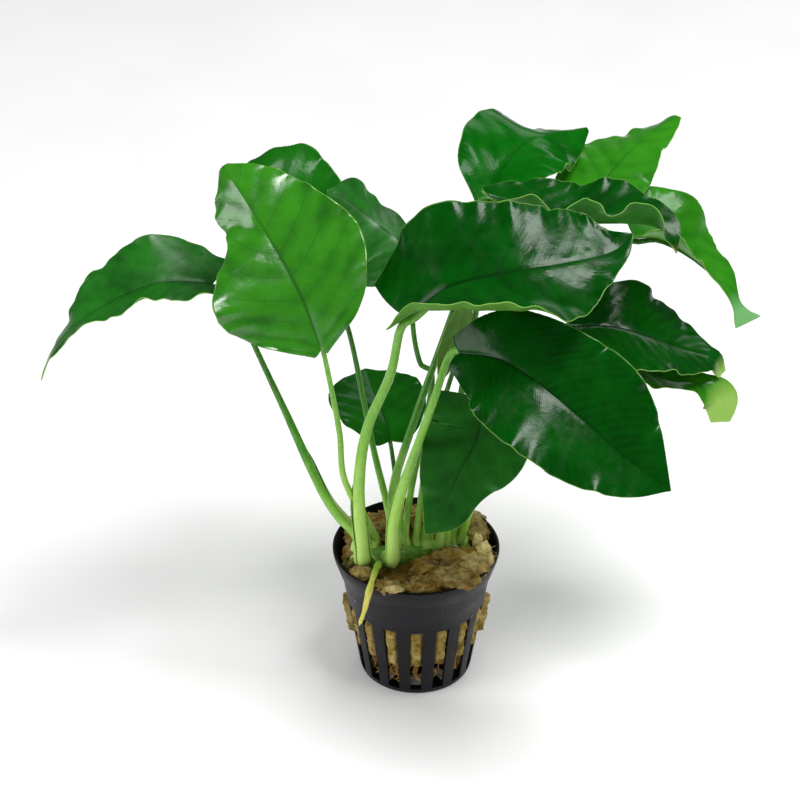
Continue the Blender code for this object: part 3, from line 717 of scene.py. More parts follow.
@dataclass(frozen=True)
class Leaf:
    """One leaf with its stalk. Its halves are named as seen from above with the tip pointing away."""

    name: str
    midrib: tuple[Triple, ...]        # from the base of the blade to its tip
    facing: tuple[Pair, ...]          # (yaw, lift) of the upper face from base to tip
    left_width: tuple[float, ...]     # from the midrib to the left margin at the width stations
    right_width: tuple[float, ...]    # the same for the right half
    left: tuple[Pair, ...]            # (rise, curl) of the left half from base to tip
    right: tuple[Pair, ...]           # (rise, curl) of the right half
    waves: tuple[float, float, float, float]  # (count, phase, left degrees, right degrees) of the margin
    root: Pair                        # (station along the rhizome, lean towards the viewer) of the stalk
    route: tuple[Triple, ...]         # points that the stalk passes on its way up
    stalk: Pair                       # radius of the stalk at its foot and at its top
    swell: Pair = (0.1, 6.5)          # how high and how wide the skin swells between the side veins
    lobe: float = 0.06                # how far the lobes reach back, as a share of the length
    tone: Tone = Tone.MIDDLE
    back: Tone = Tone.DEEP
    tip: Tip = Tip.SAME
    tip_from: float = 0.8
    sheath: Sheath | None = None
    pale_stalk: bool = False
    slot: str = "leaf_green"


LEAVES = (
    Leaf("far_left",
         midrib=((-63.5, 9, 141), (-77, 8, 142.5), (-88, 5, 140.5), (-98.5, 2, 136),
                 (-107, -2, 131), (-113.5, -5, 123.5), (-117, -6.5, 115.5)),
         facing=((0, 85), (0, 85), (-60, 60)),
         left_width=(9, 13, 14, 6, 3, 0),
         right_width=(10, 15.5, 17, 11, 3.8, 0),
         left=((10, 0), (14, 0), (14, 5), (18, 10), (30, 20)),
         right=((18, 0), (25, 0), (10, 0), (-28, 0), (-30, -20)),
         waves=(3, 0.21, 20, 8),
         root=(0.045, -10), route=((-29.5, -5, 71), (-43.4, 2, 102.8), (-55.9, 8, 131.5)),
         stalk=(2.1, 0.7), tone=Tone.DUSKY, tip=Tip.PALE, tip_from=0.84,
         sheath=Sheath(0.02, 0.34, turn=150, wrap=120, flare=0.5, tip_out=0.6)),
    Leaf("left_front",
         midrib=((-29, -20, 134.8), (-35.5, -15, 151.5), (-47, -4, 168.5), (-55, 5, 177.5),
                 (-59, 12, 180)),
         facing=((0, 35), (0, 40), (0, 50)),
         left_width=(3, 18, 26, 12.5, 12, 2),
         right_width=(1.5, 15, 25, 20, 12.5, 2),
         left=((5, 0), (8, 0), (8, 0), (-40, 0), (-40, 0)),
         right=((15, 0), (8, 0), (8, 0), (0, 0), (0, 0)),
         waves=(3, 0.1, 10, 10),
         root=(0.16, -28), route=((-22.8, -10, 79.9), (-24.3, -13, 101.1)),
         swell=(0.22, 8), stalk=(1.3, 0.8), lobe=0.03, pale_stalk=True, tone=Tone.GLOSSY, back=Tone.YOUNG,
         slot="young_leaf_green",
         sheath=Sheath(0.02, 0.2, turn=90, wrap=100)),
    Leaf("left_back",
         midrib=((-26.6, 24, 130.2), (-37.2, 34, 148.1), (-49.3, 42, 162.5), (-54.8, 47, 163.5)),
         facing=((0, 50), (0, 50), (0, 60)),
         left_width=(8, 16, 20, 17, 10, 1),
         right_width=(8, 16, 18, 19, 17, 3),
         left=((8, 0),),
         right=((8, 0), (8, 0), (-5, 0)),
         waves=(3, 0.4, 8, 8),
         root=(0.34, -35), route=((-9.9, 8, 60.1), (-14.2, 13.5, 78), (-21.1, 22, 113.2)),
         swell=(0.18, 6.5), stalk=(1.3, 0.8)),
    Leaf("left_inner",
         midrib=((-1.5, 20, 142.7), (-6.6, 24, 149), (-13.2, 28.5, 152.3), (-22.4, 31.5, 159.1),
                 (-28.2, 33, 161.6)),
         facing=((32, 50), (32, 50), (20, 50)),
         left_width=(12, 20, 20, 16, 11, 0),
         right_width=(7, 11.5, 14.5, 14, 11, 0),
         left=((-20, 0),),
         right=((-40, 0), (-33, 0), (-20, 0)),
         waves=(3, 0.4, 8, 8),
         root=(0.46, -35), route=((-1.7, 8, 63.7), (5, 12, 103), (1.1, 13, 110),
                                  (-1.2, 15, 122.7)),
         swell=(0.14, 3.8), stalk=(1.2, 0.8), tone=Tone.DUSKY),
    Leaf("small_back",
         midrib=((-8.5, 19, 76.5), (-10, 26, 79), (-13.7, 39, 81.6), (-17.3, 54, 83)),
         facing=((0, 80),),
         left_width=(5.5, 11.5, 16.5, 15.5, 9.5, 0),
         right_width=(5.5, 11.5, 16, 15, 9, 0),
         left=((10, 0), (10, 0), (5, 0)),
         right=((10, 0), (10, 0), (5, 0)),
         waves=(2, 0.4, 4, 4),
         root=(0.40, -10), route=((-6.9, 12, 67),),
         swell=(0.2, 6.5), stalk=(1.1, 0.7)),
    Leaf("centre_large",
         midrib=((-3.8, -24, 148), (9.3, -26, 159.5), (28.5, -26, 164.6), (45.6, -23, 166.3),
                 (57.6, -18, 167), (63.5, -14, 170.8)),
         facing=((0, 90), (0, 90), (0, 80)),
         left_width=(16, 26, 25, 20.5, 15, 0),
         right_width=(3, 14, 24.5, 22.5, 8.5, 0),
         left=((36, 0), (38, 0), (34, 0), (24, 0), (24, 0)),
         right=((15, 40), (-15, 95), (-25, 80), (-30, 20), (-5, 0)),
         waves=(3, 0.54, 4, 12),
         root=(0.09, 48), route=((-18.4, -10, 77.6), (-15.6, -14, 101.8), (-8.3, -18, 124.2)),
         stalk=(2.3, 1.3), lobe=0.08, pale_stalk=True, tone=Tone.DEEP,
         sheath=Sheath(0.02, 0.26, turn=200, wrap=110, flare=0.6)),
    Leaf("top_left",
         midrib=((22.4, 21.8, 164.2), (26.6, 29, 170.4), (31.8, 36.7, 173.9), (40, 44.6, 174.6),
                 (54.5, 53, 173.6)),
         facing=((51, 66),),
         left_width=(4, 13, 18, 18.5, 10, 1),
         right_width=(6, 12, 17, 15.5, 10, 1.5),
         left=((6, 0), (6, 0), (-5, 0), (-38, 0), (-50, 0)),
         right=((40, 0), (25, 0), (15, 0), (-10, 0), (-10, 0)),
         waves=(3, 0.4, 6, 10),
         root=(0.31, 15), route=((-7.6, -3, 71.2), (-1.8, 0, 92.7), (9.4, 10, 124),
                                 (17.9, 16.5, 148.5)),
         swell=(0.18, 6.5), stalk=(1.6, 0.9), tone=Tone.FRESH),
    Leaf("top_right",
         midrib=((51, 28.5, 158.3), (59, 36.5, 163), (64.8, 43.5, 166.3), (71.3, 50.5, 169.6),
                 (83.7, 59.5, 174.9)),
         facing=((40, 80),),
         left_width=(8, 14, 17, 14.5, 11, 3),
         right_width=(8, 13, 13, 10, 7, 2.5),
         left=((0, 0), (0, 0), (-10, 0), (-33, 0), (-40, 0)),
         right=((0, 0), (0, 0), (0, 0), (10, 0), (10, 0)),
         waves=(2.5, 0.4, 6, 10),
         root=(0.87, -10), route=((20, 9, 80), (28, 16, 115), (42, 23, 148)),
         swell=(0.2, 6.5), stalk=(1.3, 0.9), tone=Tone.YOUNG, back=Tone.YOUNG, slot="young_leaf_green"),
    Leaf("upper_edge",
         midrib=((22.6, 8, 171.2), (37.2, 6, 167.5), (50.7, 4, 165.8), (62.7, 2, 166.2),
                 (73, -1, 165.7), (77.9, -6, 159.9)),
         facing=((0, 90), (0, 90), (0, 80)),
         left_width=(3, 11, 14, 16, 7.5, 0),
         right_width=(6, 10, 12.5, 13, 9, 0),
         left=((20, 0), (22, 0), (25, 0), (18, 0), (15, 0)),
         right=((36, 0), (40, 0), (46, 0), (54, 0), (60, 0)),
         waves=(3.3, 0.32, 12, 40),
         root=(0.79, 5), route=((13, 8, 90), (18.5, 9, 131), (21, 9, 158)),
         swell=(0.2, 6.5), stalk=(1.3, 0.9), tone=Tone.DEEP, back=Tone.MIDDLE, tip=Tip.BROWN,
         tip_from=0.95),
    Leaf("right_arching",
         midrib=((68.8, 28, 147), (75.8, 28, 147.3), (83.1, 27, 144.3), (89.9, 25, 140),
                 (94.5, 22, 136.3), (99, 18, 132), (104, 12, 125)),
         facing=((0, 90), (0, 90), (30, 30)),
         left_width=(12, 17, 15, 8.5, 2.5, 6),
         right_width=(12, 17, 12, 3, 1.5, 4.5),
         left=((50, 0), (45, 0), (5, 0), (-10, 0), (0, 0)),
         right=((33, 0), (33, 0), (33, 0), (30, 0), (0, 0)),
         waves=(2.5, 0.4, 12, 10),
         root=(0.97, -20), route=((23, 11, 80), (42, 16, 112), (62, 24, 138)),
         stalk=(1.1, 0.9), tone=Tone.YOUNG, back=Tone.YOUNG, tip=Tip.BLUISH_SHEEN, tip_from=0.76,
         slot="young_leaf_green"),
    Leaf("right_middle",
         midrib=((48, 6, 127.4), (61, 6, 127.2), (73.5, 5, 123.8), (85.7, 4, 119.5),
                 (93.3, 3, 117.5), (96.1, 2, 112.4)),
         facing=((0, 90), (0, 90), (0, 80)),
         left_width=(10, 13, 20, 17.5, 7, 2.5),
         right_width=(8, 15, 18, 15, 8, 2.5),
         left=((24, 0), (28, 0), (15, 0), (-2, 0), (-5, 0)),
         right=((-10, 0), (-10, 0), (-5, 0), (0, 0), (10, 0)),
         waves=(2.5, 0.4, 14, 10),
         root=(0.63, -10), route=((9, 0, 80), (28, 2, 110), (43, 5, 123)),
         swell=(0.2, 4), stalk=(2, 1), tone=Tone.DEEP, tip=Tip.PALE, tip_from=0.9),
    Leaf("right_lower",
         midrib=((57.5, 4, 120), (69.4, 3, 114.5), (79.7, 1, 111), (89.5, -1, 110.3),
                 (95.5, -3, 106.5), (96, -5, 99)),
         facing=((0, 85), (0, 85), (10, 15)),
         left_width=(7, 12, 13.5, 4.5, 5.6, 3),
         right_width=(6, 9.5, 9.5, 4, 6.2, 3.4),
         left=((15, 0), (15, 0), (15, 0), (0, 0), (0, 0)),
         right=((14, 0), (14, 0), (14, 0), (0, 0), (0, 0)),
         waves=(2.5, 0.4, 8, 8),
         root=(0.93, 12), route=((24, 1, 82), (44, 3, 112)),
         stalk=(1.2, 0.8), tone=Tone.YOUNG, tip=Tip.PALE, tip_from=0.72),
    Leaf("front_large",
         midrib=((12.2, -29, 138.6), (20.6, -34, 140.5), (27.8, -39, 140), (42, -49, 133.6),
                 (61.4, -58, 119.4), (73.6, -61, 110.9)),
         facing=((5, 38), (8, 38), (12, 40)),
         left_width=(5, 14, 20, 20.5, 12, 0),
         right_width=(5, 15.5, 20.5, 18.5, 11.2, 0),
         left=((8, 0),), right=((8, 0),),
         waves=(3, 0.4, 8, 8),
         root=(0.26, 60), route=((-7.2, -12, 66), (-3.1, -18.5, 87.8), (4.4, -27.5, 119.4)),
         swell=(0.1, 3.2), stalk=(2.1, 1.1), lobe=0.03, pale_stalk=True, tone=Tone.DEEP,
         sheath=Sheath(0.02, 0.42, turn=215, wrap=95, flare=0.7)),
    Leaf("front_drooping",
         midrib=((19.4, -14, 113.5), (19.4, -17, 107), (18.2, -20, 101.9), (12.9, -26, 93.7),
                 (8, -31, 84.4), (2.4, -35, 76.7)),
         facing=((0, 32),),
         left_width=(16, 17, 16, 10, 7, 0),
         right_width=(15, 17, 15.5, 11, 5.5, 0),
         left=((5, 0),), right=((5, 0),),
         waves=(2.5, 0.4, 10, 10),
         root=(0.71, 25), route=((10, -4, 75), (17, -8, 104)),
         stalk=(1.6, 0.9), tone=Tone.DUSKY),
    Leaf("inner_hanging",
         midrib=((15.1, 4, 138), (13.1, 3, 129), (10.3, 1, 121), (6.6, -1, 110.2)),
         facing=((20, 10),),
         left_width=(2, 3, 4.5, 4, 2, 0),
         right_width=(2, 3, 4.5, 4, 2, 0),
         left=((5, 0),), right=((5, 0),),
         waves=(1.5, 0.4, 4, 4),
         root=(0.54, -15), route=((4, 6, 80), (14, 9, 120)),
         stalk=(1.1, 0.7), tone=Tone.OLIVE),
)


@dataclass
class LeafBlade:
    """One leaf blade: a grid laid on its curved surface, ribbed between the side veins, then thickened."""

    leaf: Leaf
    thickness: float = 0.5
    columns: int = 30
    rows: int = 140
    crowding: float = 0.11
    row_crowding: float = 0.05
    vein_sweep: float = 0.16
    vein_slant: float = 0.24
    sag: float = 0.3
    sag_size: float = 9.0
    groove: float = 0.3
    groove_width: float = 0.8
    ruffle: float = 0.5
    ruffle_spacing: float = 9.0
    full_ruffle_width: float = 14.0
    swell_rise: Pair = (0.6, 4.0)
    full_swell_width: float = 10.0
    steps: int = 80
    across_steps: int = 16
    lobe_length: float = 0.3
    wave_shift: float = 0.35
    margin_thinning: float = 0.55
    tip_merge: float = 0.03

    def __post_init__(self) -> None:
        """Measures the midrib."""
        self.line = smooth_path(self.leaf.midrib, self.steps + 1)
        self.length = sum((b - a).length for a, b in zip(self.line, self.line[1:]))

    def width_at(self, u: float, s: float) -> float:
        """Finds the width of one half between the stations.

        Args:
            u: Place from the base to the tip.
            s: Above 0 for the right half.

        Returns:
            The width on a smooth curve through the given ones.
        """
        widths = self.leaf.right_width if s > 0 else self.leaf.left_width
        slopes = [(b - a) / (v - w) for a, b, w, v in
                  zip(widths, widths[1:], WIDTH_STATIONS, WIDTH_STATIONS[1:])]
        tangents = [slopes[0], *((a + b) / 2 for a, b in zip(slopes, slopes[1:])), slopes[-1]]
        index = 0
        while index < len(slopes) - 1 and u > WIDTH_STATIONS[index + 1]:
            index += 1
        span = WIDTH_STATIONS[index + 1] - WIDTH_STATIONS[index]
        t = (u - WIDTH_STATIONS[index]) / span
        near = (1 + 2 * t) * (1 - t) ** 2 * widths[index] + t * (1 - t) ** 2 * span * tangents[index]
        far = t * t * (3 - 2 * t) * widths[index + 1] + t * t * (t - 1) * span * tangents[index + 1]
        return max(near + far, 0.0)

    def frame_at(self, x: float) -> tuple[Vector, Vector, Vector, Vector]:
        """Finds the midrib's frame.

        Args:
            x: Place along the midrib, which may be a little below 0.

        Returns:
            The point, the run, the right hand and the upward normal.
        """
        place = min(max(x, 0.0), 1.0) * self.steps
        index = min(int(place), self.steps - 1)
        point = self.line[index].lerp(self.line[index + 1], place - index)
        run = (self.line[min(index + 3, self.steps)] - self.line[max(index - 2, 0)]).normalized()
        if x < 0:
            point = self.line[0] + run * x * self.length
        face = facing_direction(*ease(self.leaf.facing, x))
        normal = (face - run * face.dot(run)).normalized()
        return point, run, run.cross(normal), normal

    def point(self, u: float, s: float) -> Vector:
        """Finds a point of the middle surface.

        Args:
            u: Where its row leaves the midrib, from 0 to 1.
            s: Place across, from -1 at the left margin to 1 at the right one.

        Returns:
            The point.
        """
        leaf = self.leaf
        side = abs(s)
        backward = leaf.lobe * max(1 - u / self.lobe_length, 0.0) ** 2 * sin(side * pi / 2)
        x = u - backward + self.vein_sweep * u * (1 - u) * side ** 1.5
        middle, _, right, normal = self.frame_at(x)
        outward = right if s > 0 else -right
        rise, curl = ease(leaf.right if s > 0 else leaf.left, x)
        count, phase, left_wave, right_wave = leaf.waves
        shift = self.wave_shift if s > 0 else 0.0
        wave = (right_wave if s > 0 else left_wave) * sin(TURN * (count * x + phase + shift))
        width = self.width_at(u, s)
        step = side / self.across_steps
        flat = tall = 0.0
        for i in range(self.across_steps):
            t = (i + 0.5) * step
            angle = radians(rise + (curl + wave) * t * t)
            flat += cos(angle)
            tall += sin(angle)
        return middle + (outward * flat + normal * tall) * width * step

    def under(self, x: float, depth: float) -> Vector:
        """Returns the point at a depth below the midrib."""
        middle, _, _, normal = self.frame_at(x)
        return middle - normal * depth

    def relief(self, u: float, s: float, vein: float) -> float:
        """Finds how far the skin stands above the middle surface.

        Args:
            u: Row.
            s: Place across.
            vein: Place in the run of side veins.

        Returns:
            Height in millimetres of swollen skin, midrib groove and ruffled margin.
        """
        side = abs(s)
        leaf = self.leaf
        width = max(self.width_at(u, s), 1.0)
        hill = (sin(pi * vein) ** 2 - 0.5) * (0.8 + 0.7 * rough_at((vein, s * 2, 0.0), 0.9))
        room = step_up(side * width, *self.swell_rise) * min(width / self.full_swell_width, 1.0)
        swell = leaf.swell[0] * hill * room * (1 - side ** 8)
        groove = -self.groove * exp(-(side * width / self.groove_width) ** 2) * (1 - 0.6 * u)
        place = u * self.length / self.ruffle_spacing
        ripple = sin(TURN * (place + leaf.waves[1] + 0.4 * copysign(1.0, s)))
        ripple += 0.6 * sin(TURN * (1.7 * place + 0.3))
        return swell + groove + self.ruffle * ripple * side ** 5 * min(width / self.full_ruffle_width, 1.0)

    def build(self, materials: Sequence[Material]) -> Piece:
        """Makes the blade.

        Args:
            materials: Its upper skin, underside and margin.

        Returns:
            The finished piece.
        """
        bm = bmesh.new()
        bmesh.ops.create_grid(bm, x_segments=self.columns, y_segments=self.rows, size=1.0)
        layers = {name: bm.verts.layers.float.new(name) for name in ("along", "across", "vein")}
        deform = bm.verts.layers.deform.new()
        for vert in bm.verts:
            side = abs(vert.co.x)
            side -= self.crowding * sin(TURN * side)
            s = copysign(side, vert.co.x)
            row = (1 + vert.co.y) / 2
            u = row - self.row_crowding * sin(TURN * row)
            vert[layers["along"]] = u
            vert[layers["across"]] = s
            vein = u - self.vein_slant * side ** 1.25 * (1 - 0.45 * u)
            vert[layers["vein"]] = vein * self.length / self.leaf.swell[1]
            vert[deform][0] = 1 - self.margin_thinning * side ** 5
            vert.co = self.point(u, s)
        shift_along_normals(bm, lambda vert: self.relief(*(vert[layer] for layer in layers.values()))
                            + self.sag * rough_at(vert.co, self.sag_size))
        bmesh.ops.remove_doubles(bm, verts=bm.verts, dist=self.tip_merge)
        blade = to_object("blade_" + self.leaf.name, bm, materials)
        substance = blade.vertex_groups.new(name="substance")
        thick = blade.modifiers.new("Thickness", "SOLIDIFY")
        thick.thickness = self.thickness * MM
        thick.offset = 0.0
        thick.vertex_group = substance.name
        thick.material_offset = 1
        thick.material_offset_rim = 2
        hand_over(blade, "leaf_" + self.leaf.name)
        return blade


@dataclass
class CreepingStem:
    """The thick green stem that lies on the wool, ringed where old leaves sat and set with root buds."""

    line: tuple[Triple, ...] = ((-20.5, -5.5, 47.0), (-13.5, -6.0, 47.0), (-6.5, -4.0, 46.0),
                                (2.0, -0.8, 44.8), (10.5, 1.4, 44.0), (17.5, 3.6, 43.8))
    thickness: float = 3.9
    taper: float = 0.12
    end: float = 0.06
    rings: int = 150
    sides: int = 32
    scars: int = 9
    scar_depth: float = 0.28
    lump: float = 0.35
    lump_size: float = 2.2
    buds: int = 9
    bud_places: Pair = (0.04, 0.6)
    bud_turns: Pair = (-60.0, 70.0)
    bud_sizes: Pair = (0.45, 1.0)
    bud_seed: int = 5

    def radius(self, position: float) -> float:
        """Returns the plain radius at a place from its left end to its right end."""
        end = min(position, 1 - position) / self.end
        return self.thickness * (1 - self.taper * position) * sqrt(1 - 0.75 * max(1 - end, 0.0) ** 2)

    def build(self) -> Piece:
        """Makes the stem.

        Returns:
            The finished piece.
        """
        path = smooth_path(self.line, self.rings)
        places = [i / (self.rings - 1) for i in range(self.rings)]
        radii = [self.radius(t) - self.scar_depth * (1 - abs(sin(pi * self.scars * t)) ** 0.4)
                 for t in places]
        bm = bmesh.new()
        tube = Tube(path, radii, self.sides)
        tube.grow(bm)
        shift_along_normals(bm, lambda vert: self.lump * rough_at(vert.co, self.lump_size))
        draw = random.Random(self.bud_seed)
        layer = bm.verts.layers.float["along"]
        for _ in range(self.buds):
            t = draw.uniform(*self.bud_places)
            index = int(t * (self.rings - 1))
            angle = radians(draw.uniform(*self.bud_turns))
            spot = tube.frames[index] @ Vector((cos(angle), sin(angle), 0.0))
            size = draw.uniform(*self.bud_sizes)
            made = bmesh.ops.create_icosphere(bm, subdivisions=2, radius=size,
                                              matrix=Matrix.Translation(spot))["verts"]
            for vert in made:
                vert[layer] = draw.random()
            for face in {face for vert in made for face in vert.link_faces}:
                face.material_index = 1
        stem = to_object("creeping_stem", bm, (STEM_SKIN.build(), NODULE_SKIN.build()))
        hand_over(stem, "rhizome")
        return stem


@dataclass
class Stalk:
    """The stalk of one leaf, from the creeping stem to a keel that runs out under the midrib."""

    blade: LeafBlade
    stem: CreepingStem
    sides: int = 16
    rings: int = 72
    start: float = 3.5
    foot_spread: float = 1.15
    foot_depth: float = 0.75
    taper_power: float = 1.5
    keel: tuple[float, ...] = (0.06, 0.1, 0.15, 0.21, 0.28, 0.36, 0.45, 0.55, 0.65, 0.74)
    keel_end: float = 0.8
    knots: float = 0.05
    flare: float = 0.22

    def rod(self) -> Tube:
        """Finds the stalk's path and radii.

        Returns:
            The rod that it is.
        """
        leaf = self.blade.leaf
        station, lean = leaf.root
        foot, top = leaf.stalk
        stem = smooth_path(self.stem.line, 25)
        index = min(int(station * 24), 23)
        centre = stem[index].lerp(stem[index + 1], station * 24 - index)
        along = (stem[index + 1] - stem[index]).normalized()
        out = facing_direction(0, 90 - lean)
        out = (out - along * out.dot(along)).normalized()
        surface = centre + out * (self.stem.radius(station) + 1.3 * GAP)
        depth = self.blade.thickness / 2 + GAP + top
        line = [surface, surface + out * self.start, *leaf.route,
                self.blade.under(-0.05, depth + GAP), self.blade.under(0.03, depth)]
        lower = smooth_path(line, self.rings)
        radii = [top + (foot - top) * (1 - i / (self.rings - 1)) ** self.taper_power
                 + foot * self.flare * exp(-i / 4) for i in range(self.rings)]
        lower.insert(0, centre + out * self.stem.radius(station) * self.foot_depth)
        radii.insert(0, foot * (self.foot_spread + self.flare))
        for x in self.keel:
            size = top * (1 - x / self.keel_end) ** 0.8
            sink = step_up(x, 0.03, 0.2)
            lower.append(self.blade.under(x, depth + (0.25 + 0.95 * size - depth) * sink))
            radii.append(size)
        radii = [r * (1 + self.knots * rough_at((i / 5, station * 9, 0.0), 1.0))
                 for i, r in enumerate(radii)]
        return Tube(lower, radii, self.sides)

    def build(self, materials: Sequence[Material]) -> Piece:
        """Makes the stalk.

        Args:
            materials: Its skin and its sheath.

        Returns:
            The finished piece.
        """
        bm = bmesh.new()
        tube = self.rod()
        tube.grow(bm)
        if self.blade.leaf.sheath:
            self.blade.leaf.sheath.wrap_round(bm, tube, 1)
        stalk = to_object("stalk_" + self.blade.leaf.name, bm, materials)
        hand_over(stalk, "petiole_" + self.blade.leaf.name)
        return stalk


@dataclass
class Foliage:
    """All leaves on their stalks."""

    leaves: tuple[Leaf, ...]
    stem: CreepingStem

    def skin(self, leaf: Leaf) -> tuple[Material, ...]:
        """Makes a leaf's materials.

        Args:
            leaf: The leaf.

        Returns:
            Its upper skin, underside and margin.
        """
        made = []
        for plain in (UPPER_SKINS[leaf.tone], UNDER_SKINS[leaf.back], MARGIN_SKIN):
            if leaf.tip is not Tip.SAME and plain is not MARGIN_SKIN:
                plain = replace(plain, name=plain.name + "_" + leaf.tip.value + "_tip_" + leaf.name,
                                tip=TIP_COLOURS[leaf.tip], tip_from=leaf.tip_from)
            made.append(bpy.data.materials.get(plain.name) or plain.build())
        return tuple(made)

    def build(self) -> None:
        """Makes every leaf with its stalk."""
        stalk_skins = {pale: skin.build() for pale, skin in STALK_SKINS.items()}
        sheath_skin = SHEATH_SKIN.build()
        for leaf in self.leaves:
            blade = LeafBlade(leaf)
            blade.build(self.skin(leaf))
            Stalk(blade, self.stem).build((stalk_skins[leaf.pale_stalk], sheath_skin))


@dataclass(frozen=True)
class Heap:
    """A raised or torn place of the wool: its middle, half sizes and how torn and pale it is."""

    middle: Triple
    size: Triple
    torn: float = 0.0

    def spot(self, way: Vector, swell: float = 1.0) -> Vector:
        """Returns the point that lies in a direction, at its half sizes times the swell."""
        return Vector(self.middle) + Vector([part * size * swell for part, size in zip(way, self.size)])


@dataclass
class WoolPlug:
    """The plug of spun wool: a felted block, heaped and torn on top, that bulges out through the slots."""

    bottom: float = 11.0
    top: float = 44.5
    corner: float = 2.0
    segments: int = 224
    side_rings: int = 44
    top_rings: int = 40
    lump: float = 1.1
    bulge: float = 1.35
    side_bulge: float = 3.2
    slot_heights: Pair = (12.0, 28.2)
    slot_edge: Pair = (4.0, 5.3)                                # degrees from a slot's middle
    side_slots: tuple[int, int] = (4, 12)                       # the ones at the viewer's right and left
    mounds: tuple[tuple[float, float, float, float], ...] = (   # (x, y, spread, height) of each
        (12, -14, 8, 2.6), (15, 15, 8, 2.2), (-2, -17, 5, 1.2))
    heaps: tuple[Heap, ...] = (
        Heap((-17.8, -15.2, 47), (3.4, 2.6, 2.2), 0.25),
        Heap((-9, -22.6, 47.2), (4.6, 2.6, 1.9), 0.15),
        Heap((-7.2, -24.8, 47.9), (3, 1.5, 0.8), 0.6),
        Heap((2, -21.6, 47), (6.5, 3.4, 2.4), 0.1),
        Heap((11.5, -19, 47.6), (7.5, 4.4, 3), 0.15),
        Heap((18.6, -12.4, 48.2), (4.4, 4.6, 2.8), 0.3),
        Heap((14, -9, 48), (8.5, 5, 2.6), 0.1),
        Heap((4.5, -12.5, 47.2), (6, 5, 2.4), 0.05),
        Heap((21.6, -6, 48.4), (2.4, 4.6, 1.7), 0.45),
        Heap((20.2, -1.6, 49.6), (1.5, 1.4, 2.6), 0.9),
        Heap((22.4, -5.4, 49.4), (1.8, 2.8, 1.6), 0.7),
        Heap((24, -9.5, 48.6), (1.2, 2.6, 1.3), 0.6),
        Heap((16.5, 17, 46.4), (6, 4, 2.2), 0.5),
        Heap((20.5, 8.5, 46.6), (3.2, 6.5, 2.4), 0.2),
        Heap((-20, -3, 45.2), (3.8, 7.5, 2.4), 0.1),
        Heap((-17.5, 7.5, 45.6), (5.5, 7, 2.5), 0.15),
        Heap((0, 19, 45.8), (11, 4.6, 2.4), 0.1),
        Heap((-12.5, 12.5, 45.6), (7.5, 6.5, 2.6), 0.1),
    )
    threads: int = 420
    thread_radius: float = 0.07
    thread_points: int = 5
    thread_shades: Pair = (0.2, 0.9)
    thread_seed: int = 11

    def wall(self, z: float) -> float:
        """Returns the plug's radius at a height."""
        return NurseryPot().wall(z) - NurseryPot.wall_thickness - GAP

    def height(self, x: float, y: float) -> float:
        """Returns how far the top stands above its level at a place."""
        rise = self.lump * rough_at((x, y, self.top), 7.0)
        for middle_x, middle_y, spread, height in self.mounds:
            rise += height * exp(-((x - middle_x) ** 2 + (y - middle_y) ** 2) / spread ** 2)
        return rise

    def tear(self, point: Vector, size: float) -> float:
        """Returns the roughness of torn felt at a point, in folds of about a size."""
        drawn = (point[0] * 0.55, point[1] * 1.4, point[2] * 1.4)
        folds = 1 - 2 * abs(rough_at(drawn, size))
        return 0.6 * folds + 0.2 * rough_at(point, size / 2.3) + 0.06 * rough_at(point, size / 6)

    def profile(self) -> list[Pair]:
        """Lists the turned outline as radius and height, from the middle below to the middle on top."""
        foot, shoulder = self.wall(self.bottom + self.corner), self.wall(self.top - self.corner)
        line = [(foot * i / 14, self.bottom) for i in range(14)]
        low, high = self.bottom + self.corner / 2, self.top - self.corner / 2
        levels = [low + (high - low) * i / self.side_rings for i in range(self.side_rings + 1)]
        line += [(self.wall(level), level) for level in levels]
        line += [(shoulder * (1 - i / self.top_rings), self.top) for i in range(1, self.top_rings)]
        return line + [(0.0, self.top)]

    def shape(self, vert: Vert) -> None:
        """Moves a point of the plain plug to its place.

        Args:
            vert: The point.
        """
        x, y, z = vert.co
        radius = hypot(x, y)
        if z > self.top - 0.01:
            vert.co.z += self.height(x, y) + 0.9 * self.tear(vert.co, 5.5) - 0.5
        elif z < self.bottom + 0.01:
            vert.co.z += 1.6 * rough_at(vert.co, 6.0) + 0.8 * rough_at(vert.co, 2.0)
        elif radius > 1:
            turn = degrees(atan2(x, -y)) % 360
            pitch = 360 / NurseryPot.slots
            slot = round(turn / pitch) % NurseryPot.slots
            away = abs((turn - slot * pitch + 180) % 360 - 180)
            low, high = self.slot_heights
            window = (1 - step_up(away, *self.slot_edge)) * step_up(z, low, low + 1.5)
            window *= 1 - step_up(z, high - 1.6, high)
            out = self.side_bulge if slot in self.side_slots else self.bulge
            out = window * (out + 0.7 * rough_at(vert.co, 3.0))
            out += (0.25 + 0.5 * window) * rough_at(vert.co, 1.1) - 0.3 * (1 - window)
            vert.co.x *= 1 + out / radius
            vert.co.y *= 1 + out / radius

    def build(self) -> Piece:
        """Makes the plug.

        Returns:
            The finished piece.
        """
        bm = bmesh.new()
        layer = bm.verts.layers.float.new("torn")
        self.add_threads(bm, layer)
        plug = turn_profile(bm, self.profile(), self.segments)
        skin = dict.fromkeys(face for vert in plug for face in vert.link_faces)
        bmesh.ops.recalc_face_normals(bm, faces=list(skin))
        for vert in plug:
            self.shape(vert)
            vert[layer] = 0.25 * max(rough_at(vert.co, 3.0), 0.0)
        for heap in self.heaps:
            self.add_heap(bm, heap, layer)
        wool = to_object("wool_plug", bm, (SpunWool().build(),))
        hand_over(wool, "rockwool")
        return wool

